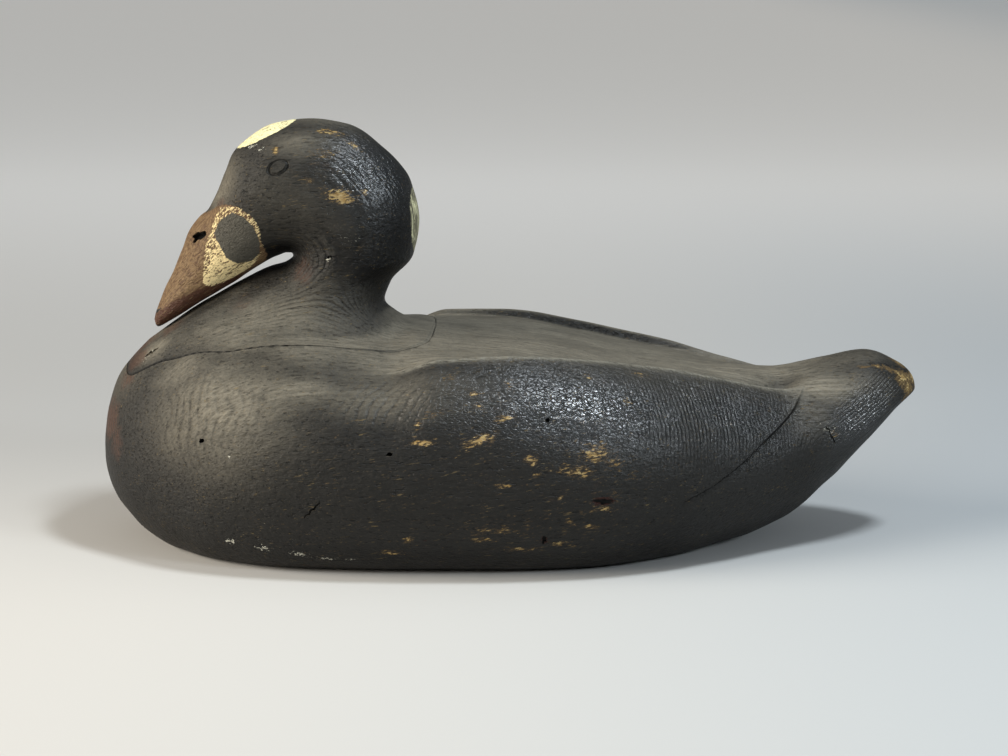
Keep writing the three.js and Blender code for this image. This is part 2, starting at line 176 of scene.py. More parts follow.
def curve_through(table: dict[float, float]) -> SmoothCurve:
    """Makes a smooth curve through a table of places and values."""
    return SmoothCurve(list(table), list(table.values()))


def curves_of(rows: Sequence[object], knots: Sequence[float]) -> dict[str, SmoothCurve]:
    """Makes one smooth curve for each field of a table's rows.

    Args:
        rows: dataclass rows, all of one kind.
        knots: the place of each row.

    Returns:
        The curves by the name of the field.
    """
    return {
        each.name: SmoothCurve(knots, [getattr(row, each.name) for row in rows])
        for each in fields(rows[0])
    }


@dataclass(frozen=True)
class Section:
    """Half an oval across the body: half_width at widest_at, up to crown, down to under."""

    x: float
    half_width: float
    widest_at: float
    crown: float
    under: float
    flat: float
    roundness: float = 2


@dataclass(frozen=True)
class WingLine:
    """The wing's upper edge as a share of the half width, the back's middle and the step."""

    x: float
    share: float
    back: float
    step: float


@dataclass(frozen=True)
class RearEdge:
    """A place on the wing's rear edge: how far down the side, and its x there."""

    down: float
    x: float


BODY_SECTIONS = (
    Section(-217, 0, 45, 45, 45, 0),
    Section(-213.6, 19, 45, 73.5, 28.5, 0),
    Section(-206, 33, 46, 91.5, 15.5, 0),
    Section(-194, 46, 47, 102.6, 6, 12),
    Section(-175, 61, 48, 114, 0.6, 30),
    Section(-150, 78, 50, 123.4, 0, 50),
    Section(-110, 91, 51, 126, 0, 63, 2.1),
    Section(-62, 97, 51, 119, 0, 66, 2.1),
    Section(-35, 98, 50.5, 127.8, 0, 66, 2.25),
    Section(-5, 98, 50, 126.2, 0, 66, 2.3),
    Section(40, 94, 50, 116.8, 0, 61, 2.1),
    Section(85, 81, 49, 105.8, 0, 38),
    Section(120, 63, 49, 96, 1.5, 9),
    Section(145, 48, 52, 91.5, 9.2, 0),
    Section(168, 37, 60, 96.3, 28, 0),
    Section(190, 27.5, 72, 100.4, 51.6, 0),
    Section(206, 17, 78, 95, 69.6, 0),
    Section(214.2, 8, 80, 88.5, 76.5, 0),
    Section(217, 0, 80.5, 80.5, 80.5, 0),
)
WING_LINES = (
    WingLine(-217, 0.6, 45, 0),
    WingLine(-150, 0.72, 118, 0),
    WingLine(-100, 0.84, 122, 0),
    WingLine(-62, 0.69, 115.5, 0),
    WingLine(-35, 0.71, 112.8, 1.5),
    WingLine(0, 0.67, 109.5, 3.2),
    WingLine(40, 0.575, 104, 4.5),
    WingLine(60, 0.535, 100, 4.5),
    WingLine(85, 0.505, 96, 3.2),
    WingLine(110, 0.5, 92.5, 2),
    WingLine(140, 0.55, 91.2, 2),
    WingLine(170, 0.6, 98, 1.5),
    WingLine(217, 0.6, 80.5, 0),
)
REAR_EDGES = (
    RearEdge(0, 153),
    RearEdge(0.3, 147),
    RearEdge(0.75, 126),
    RearEdge(1.03, 105),
    RearEdge(1.15, 84),
)


@dataclass(frozen=True)
class WingedSection(Section):
    """A section of the body read anywhere along it, with its wing."""

    ridge: Array = 0  # distance of the wing's upper edge from the middle
    foot: Array = 0  # and of the foot of its inner face
    back: Array = 0
    step: Array = 0
    winged: Array = 0  # 0 where there is no wing, 1 where it is whole


@dataclass
class BodyForm:
    """The body's surface as a function of x and of how far down the side a line runs.

    Down goes from -2 in the middle of the back by -1 at the foot of the wing's inner face,
    0 at the wing's ridge, 1 at the widest line and 2 at the edge of the flat bottom to 3 in
    its middle.
    """

    breast_x: float = -217
    tail_x: float = 217
    face_width: float = 7  # width of the wing's inner face
    narrowest_foot: float = 0.6  # its foot lies no nearer the middle than this share
    wing_start: Span = (-75, -38)
    wing_end: Span = (140, 156)
    edge_depth: float = 3.2  # step behind the wing's rear edge
    edge_ramp: float = 1.6
    edge_recovery: float = 38
    edge_fade: Span = (0.55, 1.35)
    edge_top_fade: Span = (-0.2, 0.75)
    groove_depth: float = 1.1  # knife line cut along the rear edge
    groove_width: float = 0.55
    groove_start: Span = (0.06, 0.34)
    groove_end: float = 0.04
    bend_from: float = 121  # grid lines bend from here to follow the rear edge
    bend_reach: float = 88

    def __post_init__(self) -> None:
        """Reads the tables into curves over an angle, which rounds both ends."""
        self.body_curves = curves_of(BODY_SECTIONS, [float(self.angle(r.x)) for r in BODY_SECTIONS])
        self.wing_curves = curves_of(WING_LINES, [float(self.angle(r.x)) for r in WING_LINES])
        self.rear_edge = curves_of(REAR_EDGES, [row.down for row in REAR_EDGES])["x"]
        self.lowest_edge = REAR_EDGES[-1].down

    def angle(self, x: Array) -> Array:
        """Turns x into the angle whose cosine runs from breast to tail."""
        middle, reach = (self.breast_x + self.tail_x) / 2, (self.tail_x - self.breast_x) / 2
        return np.arccos(np.clip((middle - x) / reach, -1, 1))

    def section(self, x: Array) -> WingedSection:
        """Reads the section at x.

        Args:
            x: places along the body.

        Returns:
            The section, each of its fields an array like x.
        """
        angle = self.angle(x)
        plain = {name: curve(angle) for name, curve in self.body_curves.items() if name != "x"}
        ridge = plain["half_width"] * self.wing_curves["share"](angle)
        return WingedSection(
            x=x,
            **plain,
            ridge=ridge,
            foot=np.maximum(ridge * self.narrowest_foot, ridge - self.face_width),
            back=self.wing_curves["back"](angle),
            step=self.wing_curves["step"](angle),
            winged=ease(*self.wing_start, x) * (1 - ease(*self.wing_end, x)),
        )

    def oval_height(self, at: WingedSection, y: Array) -> Array:
        """Height of the plain oval: a superellipse of exponent roundness from the widest line."""
        across = power(np.abs(y) / np.maximum(at.half_width, TINY), at.roundness)
        return at.widest_at + (at.crown - at.widest_at) * power(1 - across, 1 / at.roundness)

    def top_height(self, at: WingedSection, y: Array) -> Array:
        """Height of the top side: the oval, hollowed between the wings down to the back.

        Args:
            at: the section.
            y: distance from the middle.

        Returns:
            The oval outside the ridge. Inside it a parabola from the back's middle to the
            foot of the wing, blended into the oval over the wing's inner face.
        """
        oval = self.oval_height(at, y)
        distance = np.abs(y)
        foot_height = self.oval_height(at, at.ridge) - at.step
        hollow = at.back + (foot_height - at.back) * (distance / np.maximum(at.foot, TINY)) ** 2
        depth = ease(0, 1, (at.ridge - distance) / np.maximum(at.ridge - at.foot, TINY))
        return np.where(distance < at.ridge, mix(oval, hollow, at.winged * depth), oval)

    def half(self, x: Array, down: Array) -> Array:
        """Points of the half with positive y.

        Args:
            x: grid positions along the body.
            down: grid lines down the side, each below 3.

        Returns:
            Points in an array of the grid's shape with a last axis of 3. The back follows
            the top height, the flank the oval by its angle, the bilge a quarter ellipse to
            the flat, and behind the wing's rear edge the flank is sunk towards the middle.
        """
        bent = self.bend(x, down)
        at = self.section(bent)
        top_y = np.where(down < -1, at.foot * (down + 2), mix(at.foot, at.ridge, down + 1))
        ridge_share = at.ridge / np.maximum(at.half_width, TINY)
        start = np.arcsin(np.clip(power(ridge_share, at.roundness / 2), 0, 1))
        flank_turn = mix(start, math.pi / 2, np.clip(down, 0, 1))
        bilge_turn = np.clip(down - 1, 0, 1) * math.pi / 2
        flank_y = at.half_width * power(np.sin(flank_turn), 2 / at.roundness)
        flank_rise = power(np.cos(flank_turn), 2 / at.roundness)
        flank_z = at.widest_at + (at.crown - at.widest_at) * flank_rise
        bilge_y = at.flat + (at.half_width - at.flat) * np.cos(bilge_turn)
        bilge_z = at.widest_at - (at.widest_at - at.under) * np.sin(bilge_turn)
        zones = [down <= 0, down <= 1, down <= 2]
        y = np.select(zones, [top_y, flank_y, bilge_y], at.flat * (3 - down))
        z = np.select(zones, [self.top_height(at, top_y), flank_z, bilge_z], at.under)
        reach = np.maximum(np.hypot(y, z - at.widest_at), TINY)
        sunk = self.rear_step(bent, down) / reach
        return np.stack([bent, y * (1 - sunk), z - (z - at.widest_at) * sunk], -1)

    def bend(self, x: Array, down: Array) -> Array:
        """Shifts grid positions near the tail so that one of them follows the rear edge."""
        shift = self.rear_edge(down) - self.bend_from
        return x + shift * (1 - ease(0, 1, np.abs(x - self.bend_from) / self.bend_reach))

    def rear_step(self, x: Array, down: Array) -> Array:
        """Depth of the step behind the wing's rear edge.

        Args:
            x: places along the body.
            down: how far down the side.

        Returns:
            The depth: it grows over the ramp, shrinks over the recovery, and fades towards
            the back and towards the lower end of the edge. A knife line follows the edge.
        """
        behind = x - self.rear_edge(down)
        drop = ease(0, self.edge_ramp, behind) * (1 - ease(0, self.edge_recovery, behind))
        fade = (1 - ease(*self.edge_fade, down)) * ease(*self.edge_top_fade, down)
        line = self.groove(x, down) * self.groove_depth
        return self.edge_depth * drop * fade + line

    def groove(self, x: Array, down: Array) -> Array:
        """The knife line along the rear edge, 1 in its middle.

        Args:
            x: places along the body.
            down: how far down the side.

        Returns:
            exp(-(d / width)^2), where d is the distance in x from the middle of the ramp,
            from just below the ridge to the edge's lower end.
        """
        behind = x - self.rear_edge(down) - self.edge_ramp / 2
        lower_end = 1 - ease(self.lowest_edge - self.groove_end, self.lowest_edge, down)
        reach = ease(*self.groove_start, down) * lower_end
        return np.exp(-((behind / self.groove_width) ** 2)) * reach


@dataclass(frozen=True)
class InletPlace:
    """A place on the inlet's outline, from its rear end round one side to its front end."""

    around: float
    x: float
    y: float


INLET_PLAN = (
    InletPlace(0, -39.5, 0),
    InletPlace(0.1, -40, 18),
    InletPlace(0.18, -42, 34),
    InletPlace(0.25, -48, 43.5),
    InletPlace(0.34, -66, 50),
    InletPlace(0.47, -105, 52),
    InletPlace(0.6, -143, 48),
    InletPlace(0.7, -165, 39.5),
    InletPlace(0.79, -181, 31),
    InletPlace(0.87, -192, 26),
    InletPlace(0.93, -198.5, 21.5),
    InletPlace(0.965, -201.8, 15),
    InletPlace(1, -203.5, 0),
)


SEAM_OPENNESS = {0: 0, 0.25: 0, 0.34: 0.12, 0.42: 0.3, 0.52: 0.85, 0.68: 0.8, 0.8: 0.9,
                 0.88: 0.8, 0.95: 0.45, 1: 0.3}


@dataclass
class Inlet:
    """The pocket in the body that takes the head block, and the seam round it."""

    floor: float = 72
    top: float = 240  # the cutter reaches above the body
    snug_gap: float = 0.05  # where old paint still bridges the seam
    open_gap: float = 0.65  # where it has opened
    # painted shade along the seam where it has opened
    shade_width: float = 0.55
    shade_window: Span = (0.1, 0.7)
    shade_steps: int = 400

    def __post_init__(self) -> None:
        """Reads the outline into curves over the way round."""
        self.curves = curves_of(INLET_PLAN, [row.around for row in INLET_PLAN])
        self.openness = curve_through(SEAM_OPENNESS)

    @property
    def length(self) -> float:
        """Length from the front end to the rear end."""
        return INLET_PLAN[0].x - INLET_PLAN[-1].x

    @property
    def widest(self) -> float:
        """Largest distance of the outline from the middle."""
        return max(row.y for row in INLET_PLAN)

    def gap(self, around: Array) -> Array:
        """Width of the seam at a place round the outline."""
        return mix(self.snug_gap, self.open_gap, self.openness(around))

    def darkening(self, points: Array) -> Array:
        """Painted shade along the seam, 1 on it where it has opened.

        Args:
            points: points of either block.

        Returns:
            The openness of the nearest place on the outline, falling off with exp(-(d / w)^2)
            over the distance d from it, above the pocket's floor.
        """
        around, side = once_round(self.shade_steps)
        line = self.outline(around, side, np.zeros(len(around)))
        total = np.zeros(len(points))
        for place, openness in zip(line, self.openness(around)):
            away = (points[:, 0] - place[0]) ** 2 + (points[:, 1] - place[1]) ** 2
            total = np.maximum(total, openness * np.exp(-away / self.shade_width**2))
        return ease(*self.shade_window, total)

    def outline(self, around: Array, side: Array, margin: Array) -> Array:
        """Points of the outline once round.

        Args:
            around: 0 at the rear to 1 at the front.
            side: 1 or -1, the sign of y.
            margin: distance to grow outward.

        Returns:
            Points x, y: the outline's curves, moved along the normal of their chords.
        """
        points = np.stack([self.curves["x"](around), side * self.curves["y"](around)], -1)
        along = unit(np.roll(points, -1, axis=0) - np.roll(points, 1, axis=0))
        outward = np.stack([along[:, 1], -along[:, 0]], -1)
        return points + outward * np.reshape(margin, (-1, 1))


def once_round(steps: int) -> tuple[Array, Array]:
    """Shares of the way round for a closed ring that is the same on both sides.

    Args:
        steps: points in the ring, an even number.

    Returns:
        The share, 0 to 1 and back to 0, and the side, 1 and then -1.
    """
    step = np.arange(steps)
    half = steps / 2
    return np.where(step <= half, step / half, 2 - step / half), np.where(step <= half, 1, -1)


@dataclass(frozen=True)
class HeadRing:
    """A ring of the head block from an outer point (crown) to an inner one (throat).

    Lean moves its widest part towards the outer point, sag lowers its sides, and settle
    turns it from an oval into the plan of the inlet.
    """

    out_x: float
    out_z: float
    in_x: float
    in_z: float
    half_width: float
    lean: float = 0
    over: float = 2
    under: float = 2.1
    sag: float = 0
    settle: float = 0


HEAD_RINGS = (
    HeadRing(-188.6, 118.6, -188.2, 116.4, 2, 0, 2, 2),
    HeadRing(-187.6, 122, -186.2, 113.9, 8, -0.1, 2, 2.2),
    HeadRing(-183, 133, -179.5, 117.4, 12, -0.2, 1.9, 2.4),
    HeadRing(-178, 143, -171, 122.4, 14, -0.25, 1.8, 2.4),
    HeadRing(-172.7, 155, -161, 128.6, 15, -0.25, 1.8, 2.4),
    HeadRing(-168.9, 164, -152.5, 133.6, 16.5, -0.2, 1.9, 2.3),
    HeadRing(-162.3, 173, -144.5, 138.2, 19, -0.1, 2, 2.2),
    HeadRing(-158.7, 175.6, -140, 141.3, 21, -0.05),
    HeadRing(-154.2, 183.2, -135.5, 144.3, 23.5),
    HeadRing(-148.3, 196.6, -128.5, 148.6, 27),
    HeadRing(-144.8, 205.2, -125, 150.6, 28.6),
    HeadRing(-138.6, 211.6, -121.4, 152.1, 29.8),
    HeadRing(-122.8, 220.8, -117.5, 153.4, 31),
    HeadRing(-104, 223.3, -115.2, 153.4, 31.5),
    HeadRing(-85, 220.6, -114.4, 153, 31.5, 0, 1.95),
    HeadRing(-66.1, 208.4, -114.1, 152.4, 31, 0, 1.9),
    HeadRing(-51.5, 190, -114.2, 151.7, 30.5, 0, 1.85),
    HeadRing(-47.5, 171.5, -114.6, 151, 30, 0, 1.85),
    HeadRing(-50.7, 152.6, -115.3, 150.2, 29.5, 0, 1.9),
    HeadRing(-62.7, 138, -116.5, 149.2, 29.5),
    HeadRing(-66.4, 127.8, -119, 147.6, 31, 0, 2.1, 2, -2),
    HeadRing(-61, 121, -127, 145.2, 36, 0, 2.1, 2, -7, 0.15),
    HeadRing(-52, 116.3, -145, 136.6, 43, 0, 2.1, 2, -10, 0.45),
    HeadRing(-45, 114.7, -170, 122.2, 48.5, 0, 2.1, 2, -5, 0.8),
    HeadRing(-41, 114, -192, 106.5, 51.5, 0, 2.1, 2, 1.5, 0.95),
)


@dataclass
class HeadForm:
    """The head block's surface, from the bill's tip over the head and down to the inlet."""

    body: BodyForm
    inlet: Inlet
    least_worn: float = 0.3  # share of the seam's soft edge where it hasn't opened
    edge_step: float = 0.3  # place of the ring halfway over that edge
    proud_fade: float = 1.5  # how fast the proud middle sinks to the seam

    def __post_init__(self) -> None:
        """Spaces the rings by how far they lie apart and reads them into curves."""
        rows = np.array([astuple(row) for row in HEAD_RINGS])
        outer = np.hypot(*np.diff(rows[:, 0:2], axis=0).T)
        inner = np.hypot(*np.diff(rows[:, 2:4], axis=0).T)
        steps = (outer + inner) / 2 + np.abs(np.diff(rows[:, 4]))
        knots = np.concatenate([[0], np.cumsum(steps)]) / steps.sum()
        self.curves = curves_of(HEAD_RINGS, knots)

    def rings(self, along: Array, steps: int) -> Array:
        """Points of the block down to its last ring, just inside the seam.

        Args:
            along: share of the way from the bill's tip to the last ring, one for each ring.
            steps: points round each ring.

        Returns:
            An array rings by steps by 3. A ring is a superellipse between its outer and
            inner point. Where it settles it takes the plan of the inlet, and its height
            becomes the body's own plus what it still stands proud in the middle.
        """
        ring = HeadRing(**{name: curve(along)[:, None] for name, curve in self.curves.items()})
        around, side = once_round(steps)
        turn = around * math.pi
        exponent = 2 / np.where(turn < math.pi / 2, ring.over, ring.under)
        cosine = np.sign(np.cos(turn)) * power(np.abs(np.cos(turn)), exponent)
        oval_along = (1 - cosine) / 2 - ring.lean * (1 - cosine**2) / 2
        oval_across = power(np.sin(turn), exponent)
        plan_along = (INLET_PLAN[0].x - self.inlet.curves["x"](around)) / self.inlet.length
        plan_across = self.inlet.curves["y"](around) / self.inlet.widest
        share = mix(oval_along, plan_along, ring.settle)
        across = mix(oval_across, plan_across, ring.settle)
        x = mix(ring.out_x, ring.in_x, share)
        y = side * ring.half_width * across
        oval_z = mix(ring.out_z, ring.in_z, share) + ring.sag * across**2
        out_proud = ring.out_z - self.body_top(ring.out_x, 0)
        in_proud = ring.in_z - self.body_top(ring.in_x, 0)
        settled_z = self.body_top(x, y) + mix(out_proud, in_proud, share) * (1 - across**2)
        return np.stack([x, y, mix(oval_z, settled_z, ring.settle)], -1)

    def skirt(self, last: Array, rows: int, soft_edge: float) -> Array:
        """Rings from the last one out to the seam, over its soft edge and down the wall.

        Args:
            last: the last ring of the block's upper surface.
            rows: rings between it and the seam.
            soft_edge: how far the worn edge of the seam is rounded off where it is open.

        Returns:
            An array rows + 4 by steps by 3. The plan moves evenly out to the seam and the
            height follows the body, with what is left of the proud middle fading out.
        """
        around, side = once_round(len(last))
        seam = self.inlet.outline(around, side, np.zeros(len(last)))
        worn = soft_edge * mix(self.least_worn, 1, self.inlet.openness(around))
        proud = last[:, 2] - self.body_top(last[:, 0], last[:, 1])
        edge = self.inlet.outline(around, side, -worn)
        halfway = self.inlet.outline(around, side, -worn * self.edge_step)
        floor = np.full(len(last), self.inlet.floor + self.inlet.snug_gap)
        shares = (np.arange(rows) + 1) / (rows + 1)
        return np.array(
            [
                *(
                    self.on_body(mix(last[:, :2], edge, share), proud * (1 - share) ** self.proud_fade)
                    for share in shares
                ),
                self.on_body(edge, 0),
                self.on_body(halfway, -worn * self.edge_step),
                self.on_body(seam, -worn),
                np.column_stack([seam, floor]),
            ]
        )

    def body_top(self, x: Array, y: Array) -> Array:
        """Height of the body's top side under a point."""
        return self.body.top_height(self.body.section(x), y)

    def on_body(self, plan: Array, proud: Array) -> Array:
        """Points over a plan, proud of the body's top side."""
        return np.column_stack([plan, self.body_top(plan[:, 0], plan[:, 1]) + proud])


def skin_faces(rings: int, around: int) -> list[tuple[int, ...]]:
    """Faces of a closed skin: a first point, rings one after another, a last point.

    Args:
        rings: number of rings.
        around: points in each ring.

    Returns:
        Four-sided faces between rings and three-sided ones at both ends, pointing out where
        the rings run from the top round the side with positive y.
    """
    step = np.arange(around)
    after = (step + 1) % around
    ring = 1 + np.arange(rings)[:, None] * around
    near, far = ring[:-1], ring[1:]
    quads = np.stack([near + after, near + step, far + step, far + after], -1).reshape(-1, 4)
    end = 1 + rings * around
    first = np.stack([np.zeros_like(step), 1 + step, 1 + after], -1)
    last = np.stack([np.full_like(step, end), end - around + after, end - around + step], -1)
    return [*map(tuple, first.tolist()), *map(tuple, quads.tolist()), *map(tuple, last.tolist())]


@dataclass(frozen=True)
class KnifeWork:
    """The shallow unevenness of a surface carved by hand, as a smooth field through space."""

    depth: float = 0.13
    shortest: float = 11
    longest: float = 60
    waves: int = 24
    seed: int = 5
    flat_below: float = 8  # the flat bottom stays flat
    along_grain: float = 0.55  # how much less the waves run along the block
    push_along: float = 0.5  # and how much less they push that way
    long_push: float = 0.4  # power by which longer waves push more

    def carve(self, points: Array) -> Array:
        """Moves points by a sum of sine waves, each with a direction of its own.

        Args:
            points: points of any block, so that the seam between two blocks stays flush.

        Returns:
            The moved points.
        """
        random = np.random.default_rng(self.seed)
        length = np.exp(random.uniform(math.log(self.shortest), math.log(self.longest), self.waves))
        heading = unit(random.normal(size=(self.waves, 3)) * (self.along_grain, 1, 1))
        phase = random.uniform(0, 2 * math.pi, self.waves)
        push = random.normal(size=(self.waves, 3)) * (self.push_along, 1, 1)
        push *= (length / self.longest)[:, None] ** self.long_push
        swing = np.sin(points @ (heading * (2 * math.pi / length)[:, None]).T + phase)
        height = ease(0, self.flat_below, points[:, 2])[:, None]
        return points + self.depth * height * (swing @ push) / math.sqrt(self.waves / 4)


def put_in_scene(name: str, data: bpy.types.ID) -> bpy.types.Object:
    """Makes an object and links it to the scene.

    Args:
        name: the object's name.
        data: its mesh, lamp or camera.

    Returns:
        The object.
    """
    made = bpy.data.objects.new(name, data)
    bpy.context.scene.collection.objects.link(made)
    return made


@dataclass
class Shell:
    """A closed mesh in the making: its points in millimetres and its faces."""

    points: Array
    faces: list[tuple[int, ...]]

    @staticmethod
    def skin(first: Array, rings: Array, last: Array) -> "Shell":
        """Closes rings into a shell with a point at each end."""
        points = np.vstack([first, rings.reshape(-1, 3), last])
        return Shell(points, skin_faces(rings.shape[0], rings.shape[1]))

    @staticmethod
    def joined(shells: Sequence["Shell"]) -> "Shell":
        """Puts several closed shells into one.

        Args:
            shells: shells that don't touch each other.

        Returns:
            One shell that holds them all.
        """
        starts = np.cumsum([0, *(len(shell.points) for shell in shells[:-1])])
        faces = [
            tuple(corner + int(start) for corner in face)
            for start, shell in zip(starts, shells)
            for face in shell.faces
        ]
        return Shell(np.vstack([shell.points for shell in shells]), faces)

    def object(self, name: str) -> bpy.types.Object:
        """Makes the shell a Blender object in metres, at the origin.

        Args:
            name: the object's name.

        Returns:
            The object, linked to the scene.
        """
        mesh = bpy.data.meshes.new(name)
        mesh.from_pydata((self.points * METRES).tolist(), [], self.faces)
        mesh.update()
        return put_in_scene(name, mesh)


@dataclass
class Surface:
    """A block's surface as points in millimetres and the normals there."""

    points: Array
    normals: Array

    @staticmethod
    def of(mesh: bpy.types.Mesh) -> "Surface":
        """Reads a mesh.

        Args:
            mesh: the mesh.

        Returns:
            Its surface.
        """
        read = np.empty((2, len(mesh.vertices) * 3), np.float32)
        mesh.vertices.foreach_get("co", read[0])
        mesh.vertex_normals.foreach_get("vector", read[1])
        points, normals = read.reshape(2, -1, 3).astype(float)
        return Surface(points / METRES, normals)

    def at(self, place: Place) -> tuple[Array, Array]:
        """Finds the surface nearest to a place.

        Args:
            place: x, y, z.

        Returns:
            The nearest point and the normal there.
        """
        nearest = int(np.argmin(((self.points - place) ** 2).sum(1)))
        return self.points[nearest], self.normals[nearest]


def side_frame(normal: Array, rise: float) -> tuple[Array, Array]:
    """Two directions in the surface: along the grain, raised by an angle, and across it.

    Args:
        normal: the surface's normal.
        rise: angle of the first direction above the horizon towards the tail, in degrees.

    Returns:
        The two unit vectors.
    """
    along = np.array([math.cos(math.radians(rise)), 0, math.sin(math.radians(rise))])
    along = unit(along - normal * (along @ normal))
    return along, np.cross(normal, along)


@dataclass(frozen=True)
class Pit:
    """A hollow with a ragged rim: a worm hole, a knocked-out chip or a nostril."""

    place: Place
    length: float
    height: float
    depth: float
    rise: float = 0
    ragged: float = 0.15
    seed: int = 1
    steps: int = 24
    rings: int = 11

    def cutter(self, surface: Surface) -> Shell:
        """Makes the solid that cuts the hollow.

        Args:
            surface: the surface it is cut into.

        Returns:
            A ball stretched to the pit's length, height and depth. Its radius swings with
            the angle round it by a few seeded sine waves.
        """
        centre, normal = surface.at(self.place)
        along, across = side_frame(normal, self.rise)
        random = np.random.default_rng(self.seed)
        turn = whole_turn(self.steps)
        waves = np.arange(2, 7)[:, None]
        swing = (np.sin(waves * turn + random.uniform(0, 6, (5, 1))) / np.sqrt(waves)).sum(0)
        fall = (np.arange(self.rings) + 1)[:, None] / (self.rings + 1) * math.pi
        wide = np.sin(fall) * (1 + self.ragged * swing)
        rings = (
            centre
            + (wide * np.cos(turn))[..., None] * along * self.length / 2
            + (wide * np.sin(turn))[..., None] * across * self.height / 2
            + (np.cos(fall) * np.ones_like(turn))[..., None] * normal * self.depth
        )
        top, bottom = centre + normal * self.depth, centre - normal * self.depth
        return Shell.skin(bottom, rings[::-1], top)


@dataclass(frozen=True)
class Crack:
    """A jagged crack or gouge from one place to another, deepest in the middle."""

    start: Place
    end: Place
    width: float
    depth: float
    jag: float = 0.6
    seed: int = 1
    steps: int = 8
    rings: int = 17

    def cutter(self, surface: Surface) -> Shell:
        """Makes the solid that cuts the crack.

        Args:
            surface: the surface it is cut into.

        Returns:
            A spindle along the line from start to end, shifted sideways by a seeded zigzag,
            whose width follows the root of a sine and has its own small swing.
        """
        first, _ = surface.at(self.start)
        last, _ = surface.at(self.end)
        _, normal = surface.at(tuple((first + last) / 2))
        random = np.random.default_rng(self.seed)
        share = (np.arange(self.rings) + 1)[:, None] / (self.rings + 1)
        across = np.cross(normal, unit(last - first))
        zigzag = np.interp(share[:, 0], np.linspace(0, 1, 8), [0, *random.uniform(-1, 1, 6), 0])
        path = first + (last - first) * share + across * zigzag[:, None] * self.jag
        swell = np.sqrt(np.sin(math.pi * share)) * (1 + 0.25 * random.uniform(-1, 1, share.shape))
        turn = whole_turn(self.steps)
        rings = (
            path[:, None]
            + (swell * np.cos(turn))[..., None] * across * self.width / 2
            + (swell * np.sin(turn))[..., None] * normal * self.depth
        )
        return Shell.skin(first, rings, last)


@dataclass(frozen=True)
class EyeGroove:
    """The eye, cut as an oval line with a gouge: deep below, light at its upper rear."""

    place: Place = (-118.1, 28.4, 201.3)
    length: float = 10.5
    height: float = 7
    rise: float = 30
    lightest: float = 0.75
    deepest: float = 1.5
    # painted shade in the groove: its strength and its width as a share of the oval
    darkening: float = 0.72
    shade_width: float = 0.12
    steps: int = 64  # round the oval
    tube_steps: int = 8  # round the gouge

    def seat(self, surface: Surface, side: Side) -> tuple[Array, Array, Array, Array]:
        """Finds where the eye lies.

        Args:
            surface: the head's surface.
            side: which side of the head.

        Returns:
            Its centre, the normal there, and its long and its short axis.
        """
        x, y, z = self.place
        centre, normal = surface.at((x, side.value * y, z))
        return centre, normal, *side_frame(normal, self.rise)

    def cutter(self, surface: Surface, side: Side) -> Shell:
        """Makes the ring that cuts the eye on one side.

        Args:
            surface: the head's surface.
            side: which side of the head.

        Returns:
            A ring whose tube runs round an oval and swells from lightest to deepest.
        """
        centre, normal, along, across = self.seat(surface, side)
        turn = whole_turn(self.steps)
        up = across if across[2] > 0 else -across
        ring = (
            centre
            + np.cos(turn)[:, None] * along * self.length / 2
            + np.sin(turn)[:, None] * up * self.height / 2
        )
        radial = unit(ring - centre)
        heavy = 0.5 - 0.42 * np.sin(turn + 0.5) + 0.3 * np.cos(2 * turn + 1) + 0.12 * np.sin(7 * turn)
        swell = mix(self.lightest, self.deepest, np.clip(heavy, 0, 1))[:, None, None]
        roll = whole_turn(self.tube_steps)[None, :, None]
        tube = ring[:, None] + swell * (np.cos(roll) * radial[:, None] + np.sin(roll) * normal)
        here = np.arange(self.steps * self.tube_steps).reshape(self.steps, self.tube_steps)
        beside = np.roll(here, -1, axis=1)
        ahead, beside_ahead = np.roll(here, -1, axis=0), np.roll(beside, -1, axis=0)
        faces = np.stack([here, ahead, beside_ahead, beside], -1).reshape(-1, 4)
        if np.dot(np.cross(along, up), normal) > 0:
            faces = faces[:, ::-1]
        return Shell(tube.reshape(-1, 3), list(map(tuple, faces.tolist())))

    def line(self, points: Array, surface: Surface, side: Side) -> Array:
        """How near points lie to the groove, for the shade painted in it.

        Args:
            points: points of the cut head.
            surface: the head's surface before the cuts.
            side: which side of the head.

        Returns:
            darkening * exp(-((r - 1) / shade_width)^2), where r is 1 on the oval: the strength of the
            painted shade.
        """
        centre, _, along, across = self.seat(surface, side)
        away = points - centre
        turn = np.hypot(away @ along / self.length * 2, away @ across / self.height * 2)
        near = np.linalg.norm(away, axis=1) < self.length
        return self.darkening * np.exp(-(((turn - 1) / self.shade_width) ** 2)) * near


def cut(block: bpy.types.Object, cutters: Sequence[Shell], crease: float) -> None:
    """Takes closed shells out of a block and leaves plain mesh.

    Args:
        block: the object to cut.
        cutters: shells that don't touch each other.
        crease: angle in degrees above which an edge stays sharp.
    """
    tool = Shell.joined(cutters).object(f"{block.name}_cutters")
    turned = bmesh.new()
    turned.from_mesh(tool.data)
    bmesh.ops.recalc_face_normals(turned, faces=turned.faces)
    turned.to_mesh(tool.data)
    turned.free()
    change = block.modifiers.new("carving", "BOOLEAN")
    change.operation = "DIFFERENCE"
    change.solver = "EXACT"
    change.object = tool
    made = bpy.data.meshes.new_from_object(
        block.evaluated_get(bpy.context.evaluated_depsgraph_get())
    )
    block.modifiers.clear()
    spent = (block.data, tool.data)
    block.data = made
    made.name = block.name
    bpy.data.objects.remove(tool)
    for mesh in spent:
        bpy.data.meshes.remove(mesh)
    made.shade_smooth()
    made.set_sharp_from_angle(angle=math.radians(crease))


